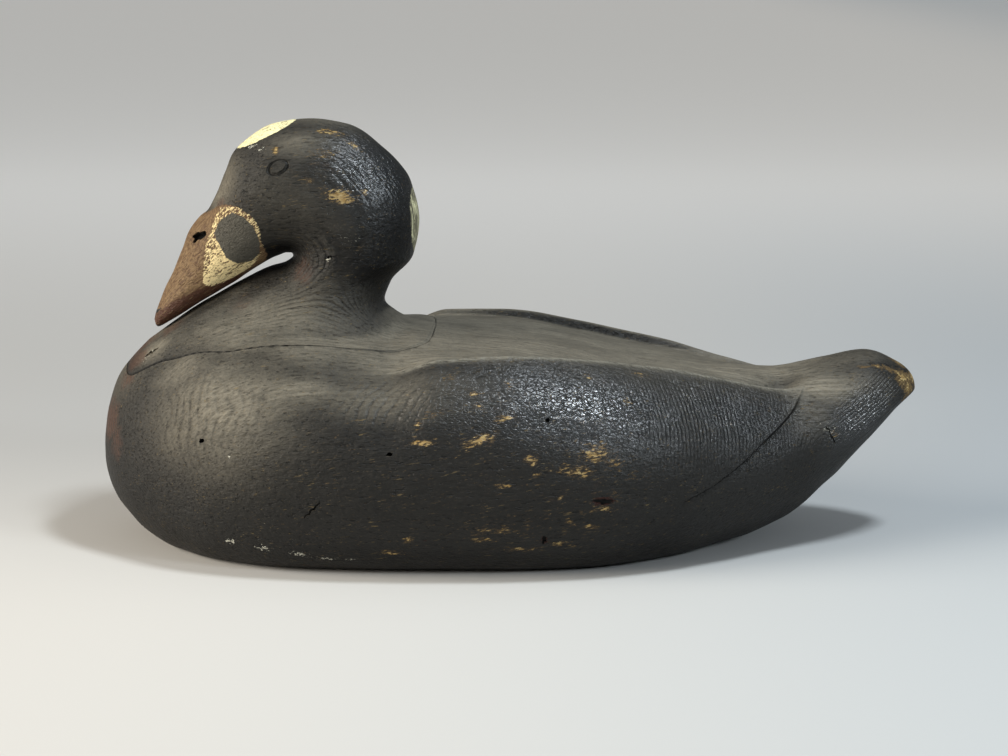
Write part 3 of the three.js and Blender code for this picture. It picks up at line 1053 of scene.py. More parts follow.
class Wear(Enum):
    """What shows where the paint has gone or changed, or where light or shade is painted; the value is
    the attribute's name.
    """

    BARE = "bare"  # ochre wood
    SPECK = "speck"  # flecks of pale primer
    RAW = "raw"  # dark red-brown wood in a deep bruise
    RED = "red"  # paint rubbed thin and reddish
    GLOSS = "gloss"  # blue-black paint polished by handling
    DUST = "dust"  # greyish bloom of dust, and light painted on the tops and lit faces
    EDGE = "edge"  # worn edge of the tail
    RINGED = "ringed"  # growth rings standing out
    SOOT = "soot"  # painted shade: near-black under the bill and cheek, low at the back of the head and low on the flanks


@dataclass(frozen=True)
class Mark:
    """A soft spot of wear: a place, its half length and half height, and how strong it is."""

    x: float
    y: float
    z: float
    length: float
    height: float
    strength: float = 1
    rise: float = 0  # angle of its length above the horizon, in degrees


Marks = dict[Wear, tuple[Mark, ...]]


def mark_field(points: Array, marks: Sequence[Mark], surface: Surface) -> Array:
    """How strongly marks of one kind show at each point.

    Args:
        points: points of the surface.
        marks: the marks.
        surface: the surface that each mark's middle is brought down to.

    Returns:
        The highest of strength * exp(-(u / length)^2 - (v / height)^2), where u is the
        distance along the mark and v the distance across it in any direction.
    """
    total = np.zeros(len(points))
    for mark in marks:
        middle, _ = surface.at((mark.x, mark.y, mark.z))
        away = points - middle
        rise = math.radians(mark.rise)
        along = away[:, 0] * math.cos(rise) + away[:, 2] * math.sin(rise)
        across = (away**2).sum(1) - along**2
        spot = mark.strength * np.exp(-((along / mark.length) ** 2) - across / mark.height**2)
        total = np.maximum(total, spot)
    return total


def both_sides(marks: Marks, kind: Wear) -> list[Mark]:
    """Collects the marks of a kind for both sides.

    Args:
        marks: a piece's marks.
        kind: the kind.

    Returns:
        The marks, and their mirror images where the far side shares them.
    """
    near = list(marks.get(kind, ()))
    if kind in (Wear.BARE, Wear.SPECK, Wear.RAW):
        return near
    return near + [replace(mark, y=-mark.y) for mark in near if mark.y]


PIT_REACH = 0.62035  # share of a pit's length and height that counts as in it
PIT_DARKENS = (0.2, 0.8)  # depth over which the painted shade inside it grows dark


def hollow_field(points: Array, pits: Sequence[Pit], surface: Surface) -> Array:
    """How far points lie down inside the pits, 0 at the rim to 1, for the shade painted there.

    Args:
        points: points of the cut surface.
        pits: the pits.
        surface: the surface before the cuts.

    Returns:
        An easing of the depth below the pit's middle, within the pit's own oval.
    """
    total = np.zeros(len(points))
    for pit in pits:
        centre, normal = surface.at(pit.place)
        along, across = side_frame(normal, pit.rise)
        away = points - centre
        reach = np.hypot(away @ along / pit.length, away @ across / pit.height)
        near = (reach < PIT_REACH) & (np.linalg.norm(away, axis=1) < pit.length + pit.depth)
        total = np.maximum(total, ease(*PIT_DARKENS, -(away @ normal)) * near)
    return total


def inside_distance(points: Array, corners: Sequence[Span]) -> Array:
    """Signed distance to a closed outline in the side view, above zero inside it.

    Args:
        points: points as x, z rows.
        corners: the outline's corners in order.

    Returns:
        The distance to the nearest edge, with the sign from counting edges crossed.
    """
    start = np.asarray(corners, float)
    edge = np.roll(start, -1, axis=0) - start
    nearest = np.full(len(points), np.inf)
    crossings = np.zeros(len(points), int)
    for corner, side in zip(start, edge):
        away = points - corner
        share = np.clip(away @ side / (side @ side), 0, 1)
        nearest = np.minimum(nearest, np.hypot(*(away - share[:, None] * side).T))
        level = points[:, 1]
        spans = (corner[1] > level) != (corner[1] + side[1] > level)
        crossing_x = corner[0] + side[0] * (level - corner[1]) / (side[1] if side[1] else 1)
        crossings += spans & (points[:, 0] < crossing_x)
    return np.where(crossings % 2 == 1, nearest, -nearest)


def store(mesh: bpy.types.Mesh, name: str, values: Array) -> None:
    """Stores one number for each vertex under a name that a finish reads."""
    layer = mesh.attributes.new(name, "FLOAT", "POINT")
    layer.data.foreach_set("value", np.asarray(values, np.float32))


Number = "Signal | float"


class Signal:
    """A number that varies over a surface. Arithmetic on it adds Math nodes."""

    def __init__(self, bench: "Bench", socket: Socket) -> None:
        """Wraps a socket of the bench's node tree."""
        self.bench = bench
        self.socket = socket

    def __add__(self, other: Number) -> "Signal":
        """self + other."""
        return self.bench.math("ADD", self, other)

    def __sub__(self, other: Number) -> "Signal":
        """self - other."""
        return self.bench.math("SUBTRACT", self, other)

    def __rsub__(self, other: Number) -> "Signal":
        """other - self."""
        return self.bench.math("SUBTRACT", other, self)

    def __mul__(self, other: Number) -> "Signal":
        """self * other."""
        return self.bench.math("MULTIPLY", self, other)

    def __pow__(self, other: Number) -> "Signal":
        """self to the power of other."""
        return self.bench.math("POWER", self, other)

    __radd__ = __add__
    __rmul__ = __mul__

    def above(self, low: float, high: float) -> "Signal":
        """Eases from 0 at low to 1 at high."""
        return self.bench.ease(self, low, high)

    def most(self, other: Number) -> "Signal":
        """The larger of the two."""
        return self.bench.math("MAXIMUM", self, other)


@dataclass(frozen=True)
class Clouds:
    """A soft pattern, by the length of its features along X, Y and Z in millimetres."""

    size: Place
    layers: float = 2  # finer layers on top of the coarse one
    roughness: float = 0.5  # how strong those are
    seed: float = 0  # shifts the pattern, so that two of them differ
    slope: float = 0  # turns its X direction up towards the tail, in degrees


class Bench:
    """Builds one material's nodes. Places are in millimetres on the piece itself."""

    film_roughness: float = 0.21
    film_sheen: float = 1.0

    def __init__(self, name: str) -> None:
        """Starts an empty material.

        Args:
            name: the material's name.
        """
        self.material = bpy.data.materials.new(name)
        self.material.use_nodes = True
        self.tree = self.material.node_tree
        self.tree.nodes.clear()
        self.place = self.node("ShaderNodeTexCoord").outputs["Object"]
        self.place = self.mapped(Scale=(1 / METRES,) * 3)

    def node(
        self,
        kind: str,
        settings: dict[str, object] | None = None,
        inputs: dict[int | str, object] | None = None,
    ) -> bpy.types.Node:
        """Adds a node.

        Args:
            kind: the node's type.
            settings: its own properties, set first.
            inputs: values, signals or sockets by the input's name or number.

        Returns:
            The node.
        """
        made = self.tree.nodes.new(kind)
        for name, value in (settings or {}).items():
            setattr(made, name, value)
        for name, value in (inputs or {}).items():
            source = value.socket if isinstance(value, Signal) else value
            if isinstance(source, Socket):
                self.tree.links.new(source, made.inputs[name])
            else:
                made.inputs[name].default_value = source
        return made

    def math(self, operation: str, *values: Number) -> Signal:
        """Adds a Math node on one, two or three numbers."""
        made = self.node("ShaderNodeMath", {"operation": operation}, dict(enumerate(values)))
        return Signal(self, made.outputs[0])

    def ease(self, value: Number, low: float, high: float) -> Signal:
        """Adds a smooth step from 0 at low to 1 at high."""
        settings = {"interpolation_type": "SMOOTHSTEP"}
        made = self.node("ShaderNodeMapRange", settings, {0: value, 1: low, 2: high})
        return Signal(self, made.outputs[0])

    def field(self, name: str) -> Signal:
        """Reads a number stored for each vertex."""
        made = self.node("ShaderNodeAttribute", {"attribute_name": name})
        return Signal(self, made.outputs["Fac"])

    def mark(self, kind: Wear) -> Signal:
        """Reads how strongly the marks of a kind show."""
        return self.field(kind.value)

    def axis(self, number: int) -> Signal:
        """The place along X, Y or Z, in millimetres."""
        return Signal(self, self.node("ShaderNodeSeparateXYZ", None, {0: self.place}).outputs[number])

    def mapped(self, place: Socket | None = None, **change: Place) -> Socket:
        """Stretches, turns or shifts places, the bench's own if none are given."""
        source = self.place if place is None else place
        return self.node("ShaderNodeMapping", None, {"Vector": source, **change}).outputs[0]

    def noise(self, clouds: Clouds) -> Signal:
        """Adds a soft pattern.

        Args:
            clouds: which one.

        Returns:
            Noise from 0 to 1, mostly near 0.5.
        """
        turn = (0, math.radians(clouds.slope), 0)
        place = self.mapped(Rotation=turn) if clouds.slope else self.place
        stretch = tuple(1 / each for each in clouds.size)
        inputs = {
            "Vector": self.mapped(place, Scale=stretch, Location=(clouds.seed,) * 3),
            "Scale": 1.0,
            "Detail": clouds.layers,
            "Roughness": clouds.roughness,
        }
        return Signal(self, self.node("ShaderNodeTexNoise", None, inputs).outputs[0])

    def cells(self, size: Place, seed: float) -> Signal:
        """Distance from the nearest border between irregular cells of a given size."""
        place = self.mapped(Scale=tuple(1 / each for each in size), Location=(seed,) * 3)
        settings = {"feature": "DISTANCE_TO_EDGE"}
        made = self.node("ShaderNodeTexVoronoi", settings, {"Vector": place, "Scale": 1.0})
        return Signal(self, made.outputs["Distance"])

    def blend(self, share: Number, first: object, second: object) -> Socket:
        """Goes from the first colour to the second by the share."""
        made = self.node("ShaderNodeMix", {"data_type": "RGBA"}, {0: share, 6: first, 7: second})
        return made.outputs[2]

    def shade(self, colour: object, factor: Number) -> Socket:
        """Makes a colour darker or lighter by a factor."""
        scale = {0: colour, "Scale": factor}
        return self.node("ShaderNodeVectorMath", {"operation": "SCALE"}, scale).outputs[0]

    def finish(
        self,
        colour: object,
        roughness: Number,
        height: Signal,
        sheen: float,
        polish: Signal | None = None,
    ) -> bpy.types.Material:
        """Closes the material.

        Args:
            colour: base colour.
            roughness: roughness.
            height: relief in millimetres.
            sheen: how strongly the surface reflects straight on.
            polish: how much of it has been rubbed to a smoother film, if any has.

        Returns:
            The material.
        """
        relief = {"Strength": 1.0, "Distance": METRES, "Height": height}
        bump = self.node("ShaderNodeBump", None, relief)
        skin = {"Base Color": colour, "Normal": bump.outputs[0]}
        dull = {**skin, "Roughness": roughness, "Specular IOR Level": sheen}
        surface = self.node("ShaderNodeBsdfPrincipled", None, dull)
        if polish is not None:
            film = {**skin, "Roughness": self.film_roughness, "Specular IOR Level": self.film_sheen}
            rubbed = self.node("ShaderNodeBsdfPrincipled", None, film)
            layers = {0: polish, 1: surface.outputs[0], 2: rubbed.outputs[0]}
            surface = self.node("ShaderNodeMixShader", None, layers)
        self.node("ShaderNodeOutputMaterial", None, {"Surface": surface.outputs[0]})
        return self.material


@dataclass(frozen=True)
class Layer:
    """What lies bare or is laid on where a strength passes from one value to another."""

    colour: Colour
    roughness: float
    starts: float  # strength at which it begins to show
    whole: float  # and at which it hides all that it can
    hides: float = 1  # how much that is
    raised: float = 0  # how far it stands above what is below it, in millimetres


@dataclass
class Coat:
    """A finish in the making: its colour, roughness and relief so far."""

    bench: Bench
    colour: object
    roughness: Signal
    height: Signal

    def cover(self, share: Signal, colour: object, roughness: float, raised: float = 0) -> None:
        """Covers part of the coat.

        Args:
            share: how much of it.
            colour: the cover's colour.
            roughness: its roughness.
            raised: how far it stands above what is below it, in millimetres.
        """
        self.colour = self.bench.blend(share, self.colour, colour)
        self.roughness = self.roughness + share * (roughness - self.roughness)
        if raised:
            self.height = self.height + share * raised

    def show(self, strength: Signal, layer: Layer, colour: object = None) -> None:
        """Covers the coat with a layer where a strength is high enough.

        Args:
            strength: the strength.
            layer: the layer.
            colour: a colour that varies, in place of the layer's own.
        """
        share = strength.above(layer.starts, layer.whole)
        if layer.hides < 1:
            share = share * layer.hides
        shown = layer.colour if colour is None else colour
        self.cover(share, shown, layer.roughness, layer.raised)


@dataclass(frozen=True)
class Grain:
    """Weathered growth rings, fibres and dents. The field "rings" counts the rings passed."""

    drift: Clouds = Clouds((50, 24, 24), 2, 0.5, 3)
    drift_reach: float = 3  # how far it shifts the rings, in rings
    wobble: Clouds = Clouds((14, 10, 10), 2, 0.5, 7)
    wobble_reach: float = 0.5
    ring_sharpness: float = 3
    fibre: Clouds = Clouds((6, 1.2, 1.2), 3, 0.7, 11)
    comb_line: Clouds = Clouds((70, 1.1, 3), 2, 0.6, 19)
    dent: Clouds = Clouds((4.6, 1.1, 1.1), 1, 0.4, 17)
    dent_window: Span = (0.62, 0.72)

    def rings(self, bench: Bench) -> Signal:
        """The rings as narrow grooves: a sine of the count, warped by noise, raised to a power."""
        drift = bench.noise(self.drift) * self.drift_reach
        wobble = bench.noise(self.wobble) * self.wobble_reach
        turn = (bench.field("rings") + drift + wobble) * (2 * math.pi)
        return (bench.math("SINE", turn) * 0.5 + 0.5) ** self.ring_sharpness

    def dents(self, bench: Bench) -> Signal:
        """Short dark dents along the grain, 0 to 1."""
        return bench.noise(self.dent).above(*self.dent_window)


@dataclass(frozen=True)
class Relief:
    """How high each pattern stands in the paint, in millimetres, and how far gloss levels it."""

    fibres: float = 0.40
    comb: float = 1.1  # long lines along the grain, where dust lies
    rings: float = 0.40
    dents: float = 0.5
    chisel: float = 0.9
    chisel_marks: Clouds = Clouds((11, 6, 6), 3, 0.6, 5)
    pebbles: float = 0.62
    pebble_marks: Clouds = Clouds((3.6, 2.1, 2.1), 2, 0.6, 9)
    speckle: float = 0.22
    levelled_fibres: float = 0.55
    levelled_pebbles: float = 0.25
    levelled_speckle: float = 0.6


@dataclass(frozen=True)
class Tone:
    """How far each pattern lightens or darkens the paint."""

    speckle: float = 1.2
    speckle_in_dust: float = 0.6  # less by this much where dust lies
    fibres: float = 1.1
    fibres_in_dust: float = 0.4
    comb: float = 2.0
    dents: float = 0.5
    rings: float = 0.35
    darkest: float = 0.15
    ridge_wear_and_highlight: float = 0.5  # paint worn pale, and a painted highlight, on the ridges between rings
    ridges_above: float = 0.3  # share of the speckle that stays dark there
    polish: float = 0.8  # how much of the polished colour gloss brings


@dataclass(frozen=True)
class Smoothness:
    """Roughness of the paint, and what changes it."""

    plain: float = 0.47
    clouds: float = 0.12
    dust: float = 0.16
    gloss: float = 0.12
    speckle: float = 0.35


@dataclass(frozen=True)
class Fraying:
    """How far noise breaks up each kind of wear."""

    red: float = 0.9
    red_window: Span = (0.35, 0.85)
    scratches: float = 0.35
    bare_strength: float = 1.05
    bare_level: float = 0.1  # taken off it everywhere
    bare_streaks: float = 3.2
    bare_speckle: float = 0.9
    raw: float = 1.4
    edge: float = 1.8
    specks: float = 2.6
    pale_fibres: Span = (0.35, 0.7)
    rubbed_fibres: Span = (0.3, 0.6)


@dataclass(frozen=True)
class OldPaint:
    """Black paint on a working decoy: dusty on top, polished on the flanks, rubbed thin, with light
    painted on its tops and shade painted under the head.
    """

    coat: Colour = tint(32, 31, 29)
    rubbed: Colour = tint(124, 120, 108)
    dusty_and_lit: Colour = tint(119, 113, 100)
    polished: Colour = tint(25, 29, 32)
    reddish: Colour = tint(84, 58, 46)
    pale_wood: Colour = tint(190, 168, 119)
    bare_wood: Colour = tint(146, 117, 67)
    # painted shade in the seam, the pits, the eye's groove and the knife line
    painted_groove_shade: Colour = tint(10, 9, 8)
    # painted shade, near-black, where shade falls under the head and low on the flanks
    soot: Colour = tint(9, 9, 9)
    scratch: Layer = Layer(tint(118, 101, 66), 0.6, 0.64, 0.74, 0.6, -0.1)
    stain: Layer = Layer(tint(92, 74, 47), 0.65, 0.30, 0.72, 0.75)
    chip: Layer = Layer(bare_wood, 0.7, 0.68, 0.80, raised=-0.3)
    bruise: Layer = Layer(tint(48, 22, 15), 0.55, 0.4, 0.6, raised=-0.25)
    edge_stain: Layer = Layer(tint(92, 74, 47), 0.7, 0.45, 0.7, 0.9, -0.15)
    edge_wood: Layer = Layer(bare_wood, 0.7, 0.85, 1.2, 0.9, -0.15)
    fleck: Layer = Layer(tint(190, 188, 174), 0.6, 0.66, 0.80, raised=-0.1)
    dust_clouds: Clouds = Clouds((38, 22, 22), 3, 0.6, 1)
    ring_clouds: Clouds = Clouds((16, 9, 9), 3, 0.6, 13)
    speckle: Clouds = Clouds((1.5, 1.0, 1.0), 3, 0.7, 23)
    streaks: Clouds = Clouds((4.4, 1.3, 1.1), 4, 0.68, 29, 12)
    patches: Clouds = Clouds((7, 6, 6), 3, 0.6, 31)
    scratches: Clouds = Clouds((8, 0.9, 0.8), 3, 0.66, 41, 12)
    sheen: float = 0.22
    grain: Grain = Grain()
    relief: Relief = Relief()
    tone: Tone = Tone()
    smoothness: Smoothness = Smoothness()
    fraying: Fraying = Fraying()

    def lay(self, bench: Bench) -> Coat:
        """Builds the paint with everything that time has done to it, and the light painted on its tops
        and ridges.

        Args:
            bench: where the nodes are built.

        Returns:
            The coat, ready for more layers.
        """
        relief, tone = self.relief, self.tone
        rings = self.grain.rings(bench)
        fibres = bench.noise(self.grain.fibre)
        comb = bench.noise(self.grain.comb_line)
        # dust, and light painted on the tops, the breast and the face
        dust = bench.mark(Wear.DUST)
        dents = self.grain.dents(bench) * (1 - dust * 0.8)
        clouds = bench.noise(self.dust_clouds)
        patchy = bench.noise(self.ring_clouds).above(0.34, 0.64)
        speckle = bench.noise(self.speckle)
        ring_strength = bench.mark(Wear.RINGED) * (0.35 + patchy * 0.8)
        dust = dust * (0.4 + clouds * 1.1)
        gloss = bench.mark(Wear.GLOSS)
        height = (
            fibres * (1 - gloss * relief.levelled_fibres) * relief.fibres
            + comb * dust * relief.comb
            - rings * ring_strength * relief.rings
            - dents * relief.dents
            + bench.noise(relief.chisel_marks) * relief.chisel
            + bench.noise(relief.pebble_marks) * (1 - gloss * relief.levelled_pebbles) * relief.pebbles
            + speckle * (1 - gloss * relief.levelled_speckle) * relief.speckle
        )
        # the dusty colour: real dust bloom, and painted light where the tops and lit faces catch the
        # lamps
        colour = bench.blend(dust.above(0, 1), self.coat, self.dusty_and_lit)
        colour = bench.blend(gloss * tone.polish, colour, self.polished)
        light = (speckle - 0.5) * (tone.speckle - dust * tone.speckle_in_dust)
        light = light + (fibres - 0.5) * (tone.fibres - dust * tone.fibres_in_dust)
        light = light + (comb - 0.5) * dust * tone.comb
        dark = dents * tone.dents + rings * ring_strength * tone.rings
        colour = bench.shade(colour, (1 + light - dark).most(tone.darkest))
        # the ridges between rings: paint worn pale, and a painted highlight
        pale = (1 - rings) * ring_strength * (speckle - tone.ridges_above).most(0) * tone.ridge_wear_and_highlight
        colour = bench.blend(pale.above(0, 1), colour, self.rubbed)
        smooth = self.smoothness
        roughness = smooth.plain + clouds * smooth.clouds + dust * smooth.dust - gloss * smooth.gloss
        roughness = roughness + (speckle - 0.5) * smooth.speckle
        coat = Coat(bench, colour, roughness, height)
        self.wear(coat, rings, fibres, speckle)
        return coat

    def wear(self, coat: Coat, rings: Signal, fibres: Signal, speckle: Signal) -> None:
        """Rubs, bruises and chips the paint, and paints shade, where the piece's marks say.

        Args:
            coat: the coat to change.
            rings: growth rings.
            fibres: streaks along the grain.
            speckle: fine noise.
        """
        bench, fray = coat.bench, self.fraying
        streaks = bench.noise(self.streaks) - 0.5
        patches = bench.noise(self.patches) - 0.5
        speckle = speckle - 0.5
        red = (bench.mark(Wear.RED) + patches * fray.red).above(*fray.red_window)
        coat.cover(red * (0.35 + rings * 0.5), self.reddish, 0.6)
        # painted shade: near-black where the marks put it
        coat.cover(bench.mark(Wear.SOOT), self.soot, 0.5)
        coat.show(bench.noise(self.scratches) + patches * fray.scratches, self.scratch)
        chipped = bench.mark(Wear.BARE) * fray.bare_strength + streaks * fray.bare_streaks
        chipped = chipped + speckle * fray.bare_speckle - fray.bare_level
        coat.show(chipped, self.stain)
        wood = bench.blend(fibres.above(*fray.pale_fibres), self.bare_wood, self.pale_wood)
        coat.show(chipped, self.chip, wood)
        coat.show(bench.mark(Wear.RAW) + streaks * fray.raw, self.bruise)
        edge = bench.mark(Wear.EDGE) + streaks * fray.edge
        coat.show(edge, self.edge_stain)
        coat.show(edge, self.edge_wood, wood)
        coat.show(bench.mark(Wear.SPECK) + speckle * fray.specks, self.fleck)
        coat.cover(bench.field("rubbed") * fibres.above(*fray.rubbed_fibres), self.rubbed, 0.6)

    def close(self, coat: Coat) -> bpy.types.Material:
        """Paints shade into the seam and the hollows and makes the material.

        Args:
            coat: the coat with all its layers.

        Returns:
            The material, with a smoother film where handling has polished the paint.
        """
        bench = coat.bench
        # painted shade: near-black in the open seam and down inside the pits and the eye's groove
        coat.cover(bench.field("seam").most(bench.field("hollow")), self.painted_groove_shade, 0.7)
        polish = bench.mark(Wear.GLOSS) * (1 - bench.mark(Wear.SOOT))
        return bench.finish(coat.colour, coat.roughness, coat.height, self.sheen, polish)


@dataclass(frozen=True)
class BodyFinish(OldPaint):
    """The body's paint, with fine cracks where it is thick on the wing and shade painted into the knife
    line of its rear edge.
    """

    crack_cells: Place = (2.8, 2.0, 2.0)
    crack_width: float = 0.14
    crack_depth: float = 0.3
    crack_tone: float = 0.5

    def material(self) -> bpy.types.Material:
        """Builds the body's material."""
        bench = Bench("body_paint")
        coat = self.lay(bench)
        crackle = 1 - bench.cells(self.crack_cells, 4).above(0, self.crack_width)
        crackle = crackle * bench.mark(Wear.GLOSS)
        coat.height = coat.height - crackle * self.crack_depth
        coat.colour = bench.shade(coat.colour, 1 - crackle * self.crack_tone)
        # painted shade in the knife line along the wing's rear edge
        coat.cover(bench.field("incised"), self.painted_groove_shade, 0.6)
        return self.close(coat)


@dataclass(frozen=True)
class HeadFinish(OldPaint):
    """The head's paint, with its cream patches and the painted bill."""

    patch: Colour = tint(238, 230, 180)
    patch_crack: Colour = tint(96, 78, 50)
    nape_patch: Colour = tint(206, 202, 162)
    nape_line: Colour = tint(84, 80, 64)
    bill_ochre: Colour = tint(129, 105, 75)
    bill_dark: Colour = tint(88, 64, 45)
    bill_low: Colour = tint(78, 50, 37)
    spot: Colour = tint(78, 75, 67)
    cream: Layer = Layer(tint(242, 220, 166), 0.6, 0.30, 0.66, 0.94, 0.12)
    bill_edge: Clouds = Clouds((2.2, 1.4, 1.4), 3, 0.6, 41)
    bill_streaks: Clouds = Clouds((7, 0.9, 0.9), 3, 0.65, 43, 38)
    bill_dots: Clouds = Clouds((1.3, 0.9, 0.9), 3, 0.65, 47)
    bill_grain: float = 0.5
    patch_edge: Clouds = Clouds((1.8, 1.8, 1.8), 3, 0.6, 51)
    patch_cells: Place = (3.4, 2.2, 2.2)
    patch_dirt: Clouds = Clouds((5, 3, 3), 3, 0.65, 53)
    nape_lines: Clouds = Clouds((1.2, 0.9, 14), 3, 0.6, 57)
    nape_blotches: Clouds = Clouds((6, 5, 9), 3, 0.6, 59)

    def material(self) -> bpy.types.Material:
        """Builds the head's material, from the black paint to the patches on top."""
        coat = self.lay(Bench("head_paint"))
        self.paint_bill(coat)
        self.paint_forehead(coat)
        self.paint_nape(coat)
        return self.close(coat)

    def paint_bill(self, coat: Coat) -> None:
        """Lays the bill's ochre, its dark lower edge, the cream and the dark spot.

        Args:
            coat: the coat to change.
        """
        bench = coat.bench
        ragged = bench.noise(self.bill_edge) - 0.5
        streaks = bench.noise(self.bill_streaks)
        dots = bench.noise(self.bill_dots)
        on_bill = (bench.field("bill") + ragged * 2.4).above(-0.3, 0.5)
        ochre = bench.blend(streaks.above(0.34, 0.62), self.bill_dark, self.bill_ochre)
        coat.cover(on_bill, bench.shade(ochre, 0.6 + dots * 0.75), 0.55)
        coat.height = coat.height + streaks * on_bill * self.bill_grain
        low = (bench.field("bill_low") + ragged * 5).above(-1.5, 2) * on_bill
        coat.cover(low * (1 - streaks.above(0.54, 0.66) * 0.8), self.bill_low, 0.5, -0.1)
        coat.show(bench.field("cream") + (dots - 0.5) * 1.6 + (streaks - 0.5) * 2.8, self.cream)
        spot = (bench.field("spot") + ragged * 1.6).above(-0.15, 0.25)
        scratched = bench.blend(streaks.above(0.60, 0.72) * 0.5, self.spot, self.rubbed)
        coat.cover(spot, scratched, 0.5, 0.08)

    def paint_forehead(self, coat: Coat) -> None:
        """Lays the cream patch on the forehead, crazed and dirty.

        Args:
            coat: the coat to change.
        """
        bench = coat.bench
        ragged = bench.noise(self.patch_edge) - 0.5
        crazing = 1 - bench.cells(self.patch_cells, 8).above(0.01, 0.07)
        darkening = bench.noise(self.patch_dirt)
        dark = (crazing * darkening.above(0.40, 0.58) * 0.85).most(darkening.above(0.60, 0.72) * 0.7)
        cream = bench.blend(dark, self.patch, self.patch_crack)
        forehead = (bench.field("forehead") + ragged * 1.4).above(-0.2, 0.2)
        coat.cover(forehead * (1 - darkening.above(0.70, 0.74)), cream, 0.5, 0.12)

    def paint_nape(self, coat: Coat) -> None:
        """Lays the pale patch on the nape, in upright streaks.

        Args:
            coat: the coat to change.
        """
        bench = coat.bench
        ragged = bench.noise(self.patch_edge) - 0.5
        lines = bench.noise(self.nape_lines).above(0.40, 0.64)
        blotches = bench.noise(self.nape_blotches).above(0.36, 0.56)
        pale = bench.blend(lines * (0.3 + blotches * 0.7), self.nape_line, self.nape_patch)
        nape = (bench.field("nape") + ragged * 2.4).above(-0.2, 0.4)
        coat.cover(nape, pale, 0.6, 0.05)


